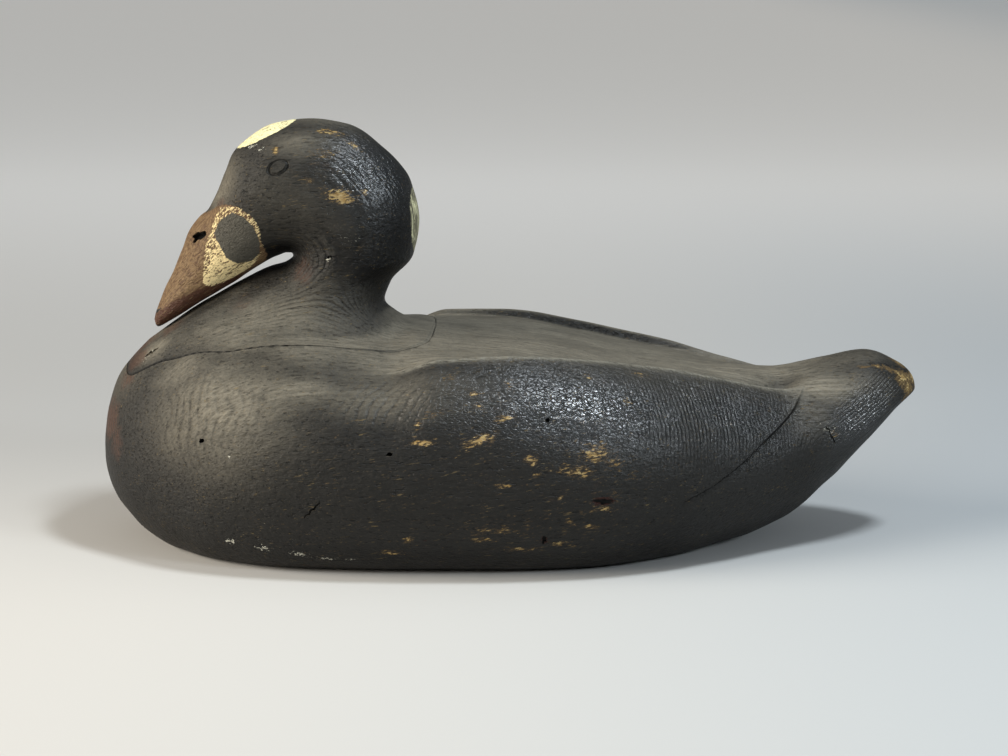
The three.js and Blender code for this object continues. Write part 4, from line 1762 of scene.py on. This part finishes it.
BODY_MARKS: Marks = {
    Wear.BARE: (
        Mark(-31, -77, 102, 8, 1.4, 0.9, 22), Mark(-19, -84, 95, 5, 1.6, 0.9),
        Mark(-1, -80, 100, 3, 3, 0.6), Mark(-15, -87.5, 90, 3, 1.6, 0.8),
        Mark(-3, -90, 85, 6, 2, 0.9, 20), Mark(-15, -95, 75, 9.5, 3, 1, 22),
        Mark(-42.5, -94, 73, 8, 1.8, 0.9), Mark(-45, -90, 81, 2, 4, 0.75),
        Mark(-38, -88, 86, 8, 2, 0.6, 15), Mark(10, -96, 65, 4, 3), Mark(14, -95, 58, 2.5, 2, 0.7),
        Mark(-2, -97, 52, 4, 1.5, 0.75), Mark(42, -91, 68, 10, 6, 0.8, 15),
        Mark(33, -93, 58, 12, 3.2, 0.8, -8), Mark(52, -88, 62, 7, 4, 0.6), Mark(62, -86, 55, 5, 2, 0.6),
        Mark(46, -92, 41, 8, 2.5, 0.75), Mark(30, -94, 34, 3, 2, 0.7), Mark(24, -95, 47, 2, 3, 0.6),
        Mark(-6.5, -94, 28, 14, 1.6, 0.78), Mark(-14, -94, 24, 8, 2, 0.65),
        Mark(5, -89, 17, 11, 1.6, 0.72), Mark(25, -89, 19, 13, 1.6, 0.68),
        Mark(40, -88, 30, 5, 2, 0.65), Mark(-50, -92, 24, 4, 2, 0.75), Mark(-60, -88, 14, 7, 1.3, 0.8),
        Mark(66, -53, 98, 6, 2, 0.7), Mark(40, -66, 100, 3, 1.6, 0.7), Mark(58, -70, 88, 3, 3, 0.7),
        Mark(20, -80, 92, 4, 2, 0.5), Mark(168, -36, 63, 2.5, 4, 0.55), Mark(8, -95, 58, 50, 22, 0.1),
        Mark(20, -92, 28, 46, 11, 0.17), Mark(46, -92, 41.5, 13, 4, 0.62),
    ),
    Wear.RAW: (
        Mark(46, -92, 41.5, 8, 2.6), Mark(17, -92, 24, 2.5, 3, 0.8), Mark(-42, -92, 24, 3, 3, 0.4),
    ),
    Wear.SPECK: (
        Mark(-142, -75, 18, 6, 2.5, 0.78), Mark(-124, -79, 15, 9, 2.5, 0.75),
        Mark(-106, -81, 12, 9, 2, 0.75), Mark(-202, -17, 94, 3, 2.2, 0.95),
        Mark(-195, -24, 97, 3, 1.2, 0.7), Mark(-80, -84, 10, 12, 1.6, 0.5),
        Mark(-53, -29, 113, 3, 2, 0.7), Mark(20, -96, 78, 22, 14, 0.26), Mark(-92, -83, 9, 20, 1, 0.62),
        Mark(-138, -77, 62.5, 22, 1.2, 0.62), Mark(95, -60, 75, 25, 14, 0.3),
        Mark(165, -37, 66, 5, 6, 0.5),
    ),
    Wear.RED: (
        Mark(-209, -20, 67, 12, 16, 0.95), Mark(-204, -30, 58, 10, 14, 0.75),
        Mark(-199, -22, 89, 10, 10, 0.75), Mark(-214, 0, 60, 14, 16, 0.8),
        Mark(35, -95, 45, 40, 12, 0.35), Mark(105, 0, 94, 60, 12, 0.25),
    ),
    Wear.GLOSS: (
        Mark(38, -84, 90, 70, 19), Mark(110, -52, 76, 45, 20, 0.6), Mark(186, -30, 74, 32, 9, 1, 36),
    ),
    Wear.EDGE: (
        Mark(187, -20, 99.5, 5, 1.3, 0.8), Mark(195, -18, 99, 5, 1.6, 0.9, -15),
        Mark(202, -16, 96, 5, 2, 0.95, -30), Mark(207, -14, 92, 5, 2.6, 1, -40),
        Mark(212, -9, 87, 5, 3.6, 1.05, -50), Mark(213, -9, 81, 4, 3.4),
        Mark(209, -13, 88, 6, 6.5, 1.12, -45), Mark(211, -11, 82, 4, 7, 1.06),
        Mark(214, -3, 86, 5, 7, 1.2, -60), Mark(207, -2, 94, 7, 5, 0.95, -40),
        Mark(209, -13, 77, 4, 2.4, 0.85, 40), Mark(216, 0, 81, 4, 7),
    ),
    # dust, and painted light on the lit breast, shoulder and tail top
    Wear.DUST: (
        Mark(-150, -70, 85, 48, 34, 0.8), Mark(-185, 0, 96, 40, 40, 0.55),
        Mark(-60, -82, 96, 60, 14, 0.6), Mark(-170, -48, 102, 36, 14, 0.75),
        Mark(-112, -80, 98, 40, 14, 0.65), Mark(172, -27, 88, 34, 12), Mark(158, -40, 78, 16, 14, 0.5),
    ),
    # painted shade low on the flanks
    Wear.SOOT: (
        Mark(75, -80, 12, 60, 12, 0.8), Mark(-40, -90, 10, 90, 9, 0.6),
    ),
    Wear.RINGED: (
        Mark(-160, -70, 79, 32, 23, 1.1), Mark(-192, -46, 66, 20, 34, 0.5),
        Mark(-160, -68, 50, 26, 14, 0.5), Mark(-62, -86, 94, 32, 12, 1.1),
        Mark(100, -66, 76, 44, 26, 0.9), Mark(156, -42, 68, 24, 22, 0.6),
        Mark(192, -28, 76, 28, 13, 1.7, 35),
    ),
}
HEAD_MARKS: Marks = {
    Wear.BARE: (
        Mark(-87, -30, 187, 8.5, 4.6, 1.08, -12), Mark(-92, -15, 217.5, 10, 3, 0.85),
        Mark(-80, -17, 211, 6, 2, 0.8, -35), Mark(-94, -25, 207, 9, 3, 0.6),
        Mark(-75, -27, 188.5, 3, 2, 0.7), Mark(-119, -23, 209, 2.2, 2.6, 0.95),
        Mark(-101, -30.5, 195, 10, 2, 0.45), Mark(-90, 28, 190, 7, 3, 0.8, 10),
        Mark(-80, 20, 209, 9, 2.4, 0.7),
    ),
    Wear.SPECK: (
        Mark(-132, -15, 209, 6, 2.4, 0.75), Mark(-126, -20, 208.5, 4, 2.5, 0.6),
        Mark(-131, 16, 209, 6, 2.6, 0.6), Mark(-93, -28, 154, 2.4, 1.6, 0.8),
        Mark(-85, -30, 165, 14, 8, 0.34), Mark(-187, -22, 103.5, 5, 1.4, 0.75, 40),
        Mark(-191, -21, 99.5, 2, 1.6, 0.8),
    ),
    Wear.RED: (
        Mark(-150, -18, 181, 8, 6, 0.8), Mark(-176, -12, 112, 24, 8, 0.85),
        Mark(-192, 0, 104, 16, 22, 0.9), Mark(-196, -16, 99, 12, 9), Mark(-140, -20, 128, 22, 10, 0.5),
        Mark(-108, -24, 148, 9, 12, 0.7), Mark(-94, -25, 200, 16, 8, 0.4),
    ),
    Wear.GLOSS: (
        Mark(-66, -24, 195, 26, 20),
    ),
    # dust, and painted light on the lit face, crown and breast
    Wear.DUST: (
        Mark(-125, -30, 112, 60, 30, 0.6), Mark(-100, 0, 220, 34, 16, 0.5),
        Mark(-152, -12, 192, 20, 18, 0.68), Mark(-106, -20, 212, 24, 13, 0.5),
        Mark(-186, -20, 104, 22, 10, 0.75), Mark(-115, -28, 185, 40, 30, 0.28),
    ),
    # painted shade under the bill and cheek and low at the back of the head
    Wear.SOOT: (
        Mark(-158, -14, 122, 22, 6, 0.8, 35), Mark(-132, -20, 138, 16, 7, 0.7, 35),
        Mark(-60, -22, 166, 15, 24), Mark(-68, -26, 150, 26, 13), Mark(-118, -22, 152, 20, 6),
    ),
    Wear.RINGED: (
        Mark(-90, -29, 158, 26, 17, 1.3), Mark(-84, -27, 190, 26, 20, 0.6), Mark(-92, -32, 130, 38, 14),
    ),
}
SPOT_OUTLINE = (
    (-142.6, 177.4), (-147.3, 174.8), (-150.9, 171), (-153, 165.7), (-151.8, 162.5),
    (-149.8, 159.3), (-146.9, 153.3), (-141.4, 150), (-134.4, 150.9), (-129.8, 155.4),
    (-128.9, 160.4), (-129.5, 165), (-131.9, 171), (-136.6, 176),
)
CREAM_OUTLINE = (
    (-150.5, 180), (-156.4, 165.5), (-158.3, 160.4), (-159.3, 154), (-159.7, 149), (-160.2, 143.6),
    (-161, 138), (-155.8, 136.5), (-150.5, 138.5), (-145, 141), (-138.2, 144.6), (-132.9, 149),
    (-127.5, 156), (-126.5, 160), (-127.6, 165), (-128.2, 171), (-131, 176), (-136, 180), (-143, 182),
)
BILL_OUTLINE = (
    (-160, 176), (-158.9, 174.6), (-155.2, 177.1), (-151.1, 179.6), (-146.1, 181.4), (-140.4, 181),
    (-136.1, 178.7), (-131.9, 175.8), (-129.1, 171), (-128.5, 165.5), (-127.9, 160.9), (-126, 155),
    (-128.5, 147.8), (-140, 140.5), (-152.5, 132.8), (-171, 121.6), (-179.5, 116.6), (-188.2, 115),
    (-205, 115), (-205, 150), (-175, 180),
)
BILL_LOW_LINE = {-190: 121, -181: 126.5, -177: 129.5, -170: 133, -162: 136.5, -154: 139.5, -146: 142,
                 -138: 144.5, -128: 150}
CREAM_BY_ANGLE = {-180: 0.42, -150: 0.5, -125: 0.68, -95: 0.76, -70: 0.68, -45: 0.35, -25: 0.2,
                  0: 0.36, 30: 0.46, 60: 0.4, 90: 0.32, 120: 0.38, 150: 0.5, 180: 0.42}
RINGS_BY_X = {-217: 0, -205: 7, -195: 13, -185: 17, -170: 20.5, -155: 24, -140: 27, -100: 34,
              -60: 41, -30: 48, 20: 54, 50: 62, 80: 77, 150: 115, 217: 156}


@dataclass(frozen=True)
class FarChips:
    """Chips scattered over the side that is seen least, plainer than the near side's."""

    count: int = 26
    lowest: Place = (-90, 70, 14)
    highest: Place = (130, 100, 96)
    length: Span = (2.5, 8)
    flatness: float = 0.35  # their height as a share of their length
    strength: Span = (0.6, 0.9)
    rise: Span = (-15, 25)
    seed: int = 21

    def marks(self, surface: Surface) -> list[Mark]:
        """Scatters the chips.

        Args:
            surface: the block's surface.

        Returns:
            One mark for each, at seeded random places.
        """
        random = np.random.default_rng(self.seed)
        marks = []
        for place in random.uniform(self.lowest, self.highest, (self.count, 3)):
            point, _ = surface.at(tuple(place))
            length = random.uniform(*self.length)
            strength, rise = random.uniform(*self.strength), random.uniform(*self.rise)
            marks.append(Mark(*point.tolist(), length, length * self.flatness, strength, rise))
        return marks


def keep_inside(points: Array, node: str) -> Array:
    """Holds points within the box of the frame's node."""
    low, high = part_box(node)
    return np.clip(points, np.array(low) / METRES, np.array(high) / METRES)


@dataclass(frozen=True)
class RingArcs:
    """The growth rings that the carved side has cut through, bent into arcs."""

    breast_height: float = 71  # height of the arcs' foremost point on the breast
    breast_below: float = 0.012  # how much they bend below it
    breast_above: Span = (0.003, 0.02)
    breast_reach: Span = (-130, -90)
    wing_height: float = 60
    wing_bend: float = -0.006
    wing_reach: Span = (-60, 30)
    tail_start: float = 150  # from here the rings run along the tail
    tail_rise: float = 0.71
    tail_rings: float = 0.45  # rings in a millimetre
    tail_reach: Span = (140, 172)

    def count(self, x: Array, z: Array) -> Array:
        """Counts the rings passed.

        Args:
            x: places along the body.
            z: heights.

        Returns:
            A curve of x, bent into arcs: open to the rear on the breast, to the front on the
            wing. On the tail the rings run along it instead.
        """
        below, above = np.maximum(self.breast_height - z, 0), np.maximum(z - self.breast_height, 0)
        sweep = mix(*self.breast_above, ease(*self.breast_reach, x))
        breast = self.breast_below * below**2 + sweep * above**2
        wing = self.wing_bend * (z - self.wing_height) ** 2
        lean = mix(breast, wing, ease(*self.wing_reach, x))
        along = (x - self.tail_start) * self.tail_rise - (z - self.wing_height)
        tail = RINGS_BY_X[self.tail_start] + along * self.tail_rings
        return mix(curve_through(RINGS_BY_X)(x - lean), tail, ease(*self.tail_reach, x))


@dataclass
class BodyBlock:
    """The body: breast, carved wings, flanks and paddle tail, with the pocket for the head."""

    form: BodyForm
    inlet: Inlet
    knife: KnifeWork
    finish: BodyFinish = field(default_factory=BodyFinish)
    rings: int = 424
    steps: tuple[int, ...] = (24, 9, 44, 22, 5)  # on back, wing face, flank, bilge and bottom
    edge_rings: int = 11  # closer rings across the wing's rear edge
    edge_clear: float = 0.4  # room that the others leave for them
    pocket_steps: int = 240
    crease: float = 38
    arcs: RingArcs = RingArcs()
    far_chips: FarChips = FarChips()
    dusty_slope: Span = (0.62, 0.97)
    most_dust: float = 0.7
    tail_dusted_off: float = 0.5
    tail_reach: Span = (140, 185)
    ridge_width: float = 0.9  # how far the wing's ridge is rubbed to either side

    def build(self) -> bpy.types.Object:
        """Makes the block's mesh.

        Returns:
            The finished object.
        """
        block = self.shell().object("decoy_body")
        store(block.data, "incised", self.incised())
        whole = Surface.of(block.data)
        damage = self.damage()
        cut(block, [self.pocket(), *(mark.cutter(whole) for mark in damage)], self.crease)
        carved = Surface.of(block.data)
        self.mark(block.data, carved, whole)
        # painted shade down inside the worm holes and bruises
        worm_holes = [mark for mark in damage if isinstance(mark, Pit)]
        store(block.data, "hollow", hollow_field(carved.points, worm_holes, whole))
        block.data.materials.clear()
        block.data.materials.append(self.finish.material())
        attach(block, "root")
        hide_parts("body")
        return block

    def grid(self) -> tuple[Array, Array]:
        """The grid of places along the body and lines down its side, closer at the rear edge."""
        form = self.form
        even = form.tail_x * -np.cos(math.pi * (np.arange(self.rings) + 1) / (self.rings + 1))
        edge = form.bend_from + form.edge_ramp * np.linspace(-0.4, 1.4, self.edge_rings)
        clear = np.abs(even[:, None] - edge).min(1) > self.edge_clear
        x = np.sort(np.concatenate([even[clear], edge]))
        down = [start + np.arange(steps) / steps for start, steps in enumerate(self.steps, -2)]
        grid_x, grid_down = np.meshgrid(x, np.concatenate([*down, [3]]), indexing="ij")
        return grid_x, grid_down

    def incised(self) -> Array:
        """How far each point of the shell lies in the knife line of the wing's rear edge, for the shade
        painted in it.
        """
        x, down = self.grid()
        half = self.form.groove(self.form.bend(x, down), down)
        rings = np.concatenate([half, half[:, -2:0:-1]], axis=1)
        return np.concatenate([[0], rings.ravel(), [0]])

    def shell(self) -> Shell:
        """The whole body before anything is cut, as rings from breast to tail."""
        half = self.form.half(*self.grid())
        other = half[:, -2:0:-1] * (1, -1, 1)
        rings = np.concatenate([half, other], axis=1)
        ends = [(row.x, 0, row.widest_at) for row in (BODY_SECTIONS[0], BODY_SECTIONS[-1])]
        shell = Shell.skin(np.array(ends[0]), rings, np.array(ends[1]))
        shell.points = keep_inside(self.knife.carve(shell.points), "body")
        return shell

    def pocket(self) -> Shell:
        """The prism that cuts the pocket: the inlet's outline grown by the seam's gap."""
        around, side = once_round(self.pocket_steps)
        plan = self.inlet.outline(around, side, self.inlet.gap(around))
        heights = (self.inlet.top, self.inlet.floor)
        rings = np.array([np.column_stack([plan, np.full(len(plan), z)]) for z in heights])
        top, bottom = (np.array([*plan.mean(0), z]) for z in heights)
        return Shell.skin(top, rings, bottom)

    def damage(self) -> list[Pit | Crack]:
        """Worm holes, cracks and bruises cut into the body."""
        return [
            Pit((-155, -72.5, 69), 3.2, 2.5, 4, seed=3),
            Pit((-59, -95, 67), 3.2, 1.8, 4, seed=4),
            Pit((19, -88, 83), 2.6, 2.0, 4, seed=5),
            Pit((-70, 96, 60), 1.8, 1.7, 4, seed=6),
            Pit((84, 78, 62), 1.7, 1.6, 4, seed=7),
            Pit((46, -92, 42), 9, 3.6, 1.1, -6, 0.25, seed=8),
            Pit((17, -92, 24), 2.6, 4.5, 1.3, 0, 0.25, seed=9),
            Crack((-102, -91, 34), (-94, -93, 44), 1.2, 0.9, 0.8, seed=10),
            Crack((164, -37.5, 68), (170, -36, 58), 1.8, 0.9, 0.7, seed=12),
            Crack((-138, -77, 63), (-118, -85, 64), 0.8, 0.3, 0.5, seed=13),
            Crack((30, 96, 40), (52, 92, 43), 1.3, 1.1, 0.8, seed=14),
        ]

    def mark(self, mesh: bpy.types.Mesh, carved: Surface, whole: Surface) -> None:
        """Stores the fields that the finish reads.

        Args:
            mesh: the cut mesh.
            carved: its surface.
            whole: the surface before the cuts.
        """
        points, up = carved.points, carved.normals[:, 2]
        x, y, z = points.T
        for kind in Wear:
            marks = both_sides(BODY_MARKS, kind)
            if kind is Wear.BARE:
                marks += self.far_chips.marks(whole)
            values = mark_field(points, marks, whole)
            # dust settles, and light is painted, on faces turned up
            if kind is Wear.DUST:
                settled = ease(*self.dusty_slope, up) * self.most_dust
                tail = 1 - self.tail_dusted_off * ease(*self.tail_reach, x)
                values = np.maximum(values, settled * self.sheltered(points)) * tail
            store(mesh, kind.value, values)
        store(mesh, "rings", self.arcs.count(x, z))
        at = self.form.section(x)
        ridge = np.exp(-(((np.abs(y) - at.ridge) / self.ridge_width) ** 2))
        store(mesh, "rubbed", ridge * at.winged * (z > at.widest_at))
        store(mesh, "seam", self.inlet.darkening(points))

    def sheltered(self, points: Array) -> Array:
        """Where dust lies undisturbed and light is painted on: 1 between the wings, less on their outer
        faces.
        """
        at = self.form.section(points[:, 0])
        return 1 - 0.5 * at.winged * ease(-1, 5, np.abs(points[:, 1]) - at.ridge)


@dataclass
class HeadBlock:
    """Head, bill, neck and top of the breast, carved as one block."""

    form: HeadForm
    knife: KnifeWork
    finish: HeadFinish = field(default_factory=HeadFinish)
    eye: EyeGroove = field(default_factory=EyeGroove)
    rings: int = 276
    steps: int = 304
    skirt_rows: int = 9
    soft_edge: float = 0.4
    crease: float = 38
    tip: Place = (-189, 0, 117.4)
    base_x: float = -110
    spot_middle: Span = (-142, 165)
    spot_half_width: float = 9  # the middle of the bill stays clear of it
    breast_slope: float = 0.35  # how far upward the top of the breast faces at least
    forehead_place: Span = (-126.6, 195)
    forehead_radius: float = 15.4
    nape_place: Span = (-75, 171)
    nape_height: float = 17
    nape_width: float = 13
    ring_gap: float = 1.5
    seam_below: float = 121
    dusty_slope: Span = (0.5, 0.95)
    neck_height: Span = (125, 150)
    most_dust: float = 0.66

    def build(self) -> bpy.types.Object:
        """Makes the block's mesh.

        Returns:
            The finished object.
        """
        block = self.shell().object("decoy_head_and_neck")
        whole = Surface.of(block.data)
        eyes = [self.eye.cutter(whole, side) for side in Side]
        carving = self.carving()
        cut(block, [*eyes, *(mark.cutter(whole) for mark in carving)], self.crease)
        carved = Surface.of(block.data)
        self.mark(block.data, carved, whole)
        pits = [mark for mark in carving if isinstance(mark, Pit)]
        # painted shade in the eyes' grooves and down inside the pits
        dark = [self.eye.line(carved.points, whole, side) for side in Side]
        dark.append(hollow_field(carved.points, pits, whole))
        store(block.data, "hollow", np.max(dark, axis=0))
        block.data.materials.clear()
        block.data.materials.append(self.finish.material())
        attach(block, "root")
        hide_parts("head_and_neck")
        return block

    def shell(self) -> Shell:
        """The whole block before anything is cut, from the bill's tip to its base."""
        upper = self.form.rings(np.linspace(0, 1, self.rings), self.steps)
        skirt = self.form.skirt(upper[-1], self.skirt_rows, self.soft_edge)
        base = np.array([self.base_x, 0, skirt[-1][0, 2]])
        shell = Shell.skin(np.array(self.tip), np.concatenate([upper, skirt]), base)
        shell.points = keep_inside(self.knife.carve(shell.points), "head_and_neck")
        return shell

    def carving(self) -> list[Pit | Crack]:
        """The nostrils, holes and cracks cut into the block."""
        return [
            Pit((-162, -13, 163.8), 9.5, 5.6, 4.5, 6, 0.24, seed=2),
            Pit((-162, 13, 163.8), 9.5, 5.2, 4.5, 6, 0.22, seed=5),
            Pit((-93, -28, 155), 3, 1.6, 1.2, 0, 0.3, seed=3),
            Crack((-191, -20, 100), (-183, -23, 106), 2.2, 1.3, 0.9, seed=4),
        ]

    def mark(self, mesh: bpy.types.Mesh, carved: Surface, whole: Surface) -> None:
        """Stores the fields that the finish reads.

        Args:
            mesh: the cut mesh.
            carved: its surface.
            whole: the surface before the cuts.
        """
        points, up = carved.points, carved.normals[:, 2]
        x, y, z = points.T
        for kind in Wear:
            values = mark_field(points, both_sides(HEAD_MARKS, kind), whole)
            # dust settles, and light is painted, on faces turned up
            if kind is Wear.DUST:
                low = 1 - ease(*self.neck_height, z)
                settled = ease(*self.dusty_slope, up) * low * self.most_dust
                values = np.maximum(values, settled)
            store(mesh, kind.value, values)
        side_view = points[:, [0, 2]]
        low_line = curve_through(BILL_LOW_LINE)(x)
        breast = (up > self.breast_slope) & (z < low_line)
        middle = np.abs(y) < self.spot_half_width
        store(mesh, "bill", inside_distance(side_view, BILL_OUTLINE) - OUTSIDE * breast)
        store(mesh, "spot", inside_distance(side_view, SPOT_OUTLINE) - OUTSIDE * middle)
        store(mesh, "bill_low", low_line - z)
        store(mesh, "cream", self.cream(points))
        store(mesh, "forehead", self.forehead(points))
        store(mesh, "nape", self.nape(points))
        store(mesh, "rings", np.abs(y) / self.ring_gap)
        store(mesh, "rubbed", np.zeros(len(points)))
        store(mesh, "seam", self.form.inlet.darkening(points) * (z < self.seam_below))

    def cream(self, points: Array) -> Array:
        """How thick the cream stands on the bill: by the angle round the spot, in its outline."""
        middle_x, middle_z = self.spot_middle
        angle = np.degrees(np.arctan2(points[:, 2] - middle_z, points[:, 0] - middle_x))
        thickness = curve_through(CREAM_BY_ANGLE)(angle)
        inside = ease(-1.2, 1.2, inside_distance(points[:, [0, 2]], CREAM_OUTLINE))
        return thickness * inside - (1 - inside)

    def forehead(self, points: Array) -> Array:
        """Distance inside the forehead patch, an oval in the plan of the brow."""
        middle, lowest = self.forehead_place
        along = (points[:, 0] - middle) / self.forehead_radius
        across = points[:, 1] / self.forehead_radius
        oval = 1 - np.sqrt(along**2 + np.abs(across) ** 2.3)
        return oval * 12 - OUTSIDE * (points[:, 2] < lowest)

    def nape(self, points: Array) -> Array:
        """Distance inside the nape patch, an upright oval on the back of the head."""
        foremost, middle = self.nape_place
        upright, across = (points[:, 2] - middle) / self.nape_height, points[:, 1] / self.nape_width
        oval = 1 - np.sqrt(upright**2 + across**2)
        return oval * self.nape_width - OUTSIDE * (points[:, 0] < foremost)


@dataclass(frozen=True)
class Lamp:
    """A lamp that shines from a direction."""

    name: str
    towards: Place
    strength: float
    colour: tuple[float, float, float]

    def hang(self, kind: str) -> bpy.types.Object:
        """Puts the lamp up.

        Args:
            kind: the renderer's name for its kind.

        Returns:
            The lamp, turned to where it shines.
        """
        lamp = bpy.data.lights.new(self.name, kind)
        lamp.energy = self.strength
        lamp.color = self.colour
        hung = put_in_scene(self.name, lamp)
        hung.rotation_mode = "QUATERNION"
        hung.rotation_quaternion = Vector(self.towards).to_track_quat("Z", "Y")
        return hung


@dataclass(frozen=True)
class Softbox(Lamp):
    """A square lamp near the decoy, its strength in watts."""

    distance: float
    size: float

    def put_up(self, aim: Place) -> None:
        """Hangs the lamp.

        Args:
            aim: the place that it shines at, in metres.
        """
        hung = self.hang("AREA")
        hung.data.size = self.size
        hung.location = np.array(aim) + unit(np.array(self.towards)) * self.distance


@dataclass(frozen=True)
class SoftSun(Lamp):
    """A far, wide light, as strong on the floor behind as on the decoy."""

    spread: float  # angle that it fills, in degrees

    def put_up(self) -> None:
        """Hangs it. Only its direction matters."""
        self.hang("SUN").data.angle = math.radians(self.spread)


@dataclass
class Studio:
    """The pale floor, the soft lamps and the camera."""

    aim: Place = (-0.003, 0, 0.085)
    camera_distance: float = 1.0821
    camera_elevation: float = 12.5
    view_width: float = 28  # horizontal angle of view in degrees
    sensor: float = 36
    floor_reach: float = 30
    # painted light on the floor: a pool near the decoy, falloff towards the right and away, shadow to
    # the right, and a bright far floor
    floor_painted_pool: Colour = tint(209, 205, 199)
    near_right: Colour = tint(179, 182, 183)
    floor_painted_falloff: Colour = tint(184, 183, 181)
    far_right: Colour = tint(168, 173, 177)
    floor_painted_far_light: Colour = tint(252, 253, 254)
    back_right: Colour = tint(226, 232, 238)
    paper_relief: float = 0.01
    paper_roughness: float = 0.9
    paper_sheen: float = 0.2
    sky: float = 0.09
    suns: tuple[SoftSun, ...] = (
        SoftSun("left", (-0.86, -0.28, 0.42), 2.05, (1.0, 0.94, 0.84), 34),
        SoftSun("ceiling", (0.1, -0.1, 1.0), 0.41, (0.92, 0.97, 1.0), 90),
    )
    boxes: tuple[Softbox, ...] = (
        Softbox("left_near", (-0.93, -0.24, 0.29), 15, (1.0, 0.93, 0.82), 1.5, 0.7),
        Softbox("right_front", (0.72, -0.56, 0.40), 7.4, (0.84, 0.93, 1.0), 1.5, 0.27),
        Softbox("overhead", (0.33, -0.22, 0.91), 10, (0.86, 0.94, 1.0), 1.2, 0.17),
    )

    def set_up(self) -> None:
        """Builds the whole studio."""
        self.place_camera()
        self.lay_floor()
        for sun in self.suns:
            sun.put_up()
        for box in self.boxes:
            box.put_up(self.aim)
        self.light_sky()
        bpy.context.scene.view_settings.view_transform = "Standard"

    def place_camera(self) -> None:
        """Puts the camera where it looks along +Y and down by its elevation."""
        lens = bpy.data.cameras.new("camera")
        lens.sensor_width = self.sensor
        lens.lens = self.sensor / 2 / math.tan(math.radians(self.view_width / 2))
        lens.clip_end = self.floor_reach * 3
        camera = put_in_scene("camera", lens)
        down = math.radians(self.camera_elevation)
        x, y, z = self.aim
        camera.location = (
            x,
            y - self.camera_distance * math.cos(down),
            z + self.camera_distance * math.sin(down),
        )
        camera.rotation_euler = (math.pi / 2 - down, 0, 0)
        bpy.context.scene.camera = camera

    def lay_floor(self) -> None:
        """Lays the floor: a square of plain paper with painted light on it: a pool of light near the
        decoy that fades greyer away from it, falloff and shadow painted towards the right, and the far
        floor painted bright.
        """
        reach = self.floor_reach
        mesh = bpy.data.meshes.new("floor")
        corners = [(-reach, -reach, 0), (reach, -reach, 0), (reach, reach, 0), (-reach, reach, 0)]
        mesh.from_pydata(corners, [], [(0, 1, 2, 3)])
        floor = put_in_scene("floor", mesh)
        bench = Bench("floor_paper")
        away = bench.axis(1)
        across = bench.axis(0)
        # painted light: the pool near the decoy and its falloff, darker towards the right and away
        near = bench.blend(across.above(-250, 330), self.floor_painted_pool, self.near_right)
        far = bench.blend(across.above(0, 420), self.floor_painted_falloff, self.far_right)
        colour = bench.blend(away.above(-170, 240), near, far)
        back = bench.blend(across.above(1000, 2200), self.floor_painted_far_light, self.back_right)
        colour = bench.blend(away.above(240, 1700), colour, back)
        fibres = bench.noise(Clouds((2, 2, 2))) * self.paper_relief
        mesh.materials.append(bench.finish(colour, self.paper_roughness, fibres, self.paper_sheen))

    def light_sky(self) -> None:
        """Fills the room with soft light from all round."""
        world = bpy.data.worlds.new("room")
        world.use_nodes = True
        backdrop = world.node_tree.nodes["Background"]
        backdrop.inputs["Color"].default_value = (0.94, 0.97, 1.0, 1.0)
        backdrop.inputs["Strength"].default_value = self.sky
        bpy.context.scene.world = world


def main() -> None:
    """Builds the decoy and its studio and reports each piece."""
    logging.basicConfig(level=logging.INFO, format="%(message)s")
    body_form = BodyForm()
    inlet = Inlet()
    knife = KnifeWork()
    Studio().set_up()
    blocks = (
        BodyBlock(body_form, inlet, knife),
        HeadBlock(HeadForm(body_form, inlet), knife),
    )
    for block in blocks:
        made = block.build()
        triangles = sum(len(face.vertices) - 2 for face in made.data.polygons)
        LOG.info("%s: %d triangles", made.name, triangles)


if __name__ == "__main__":
    main()
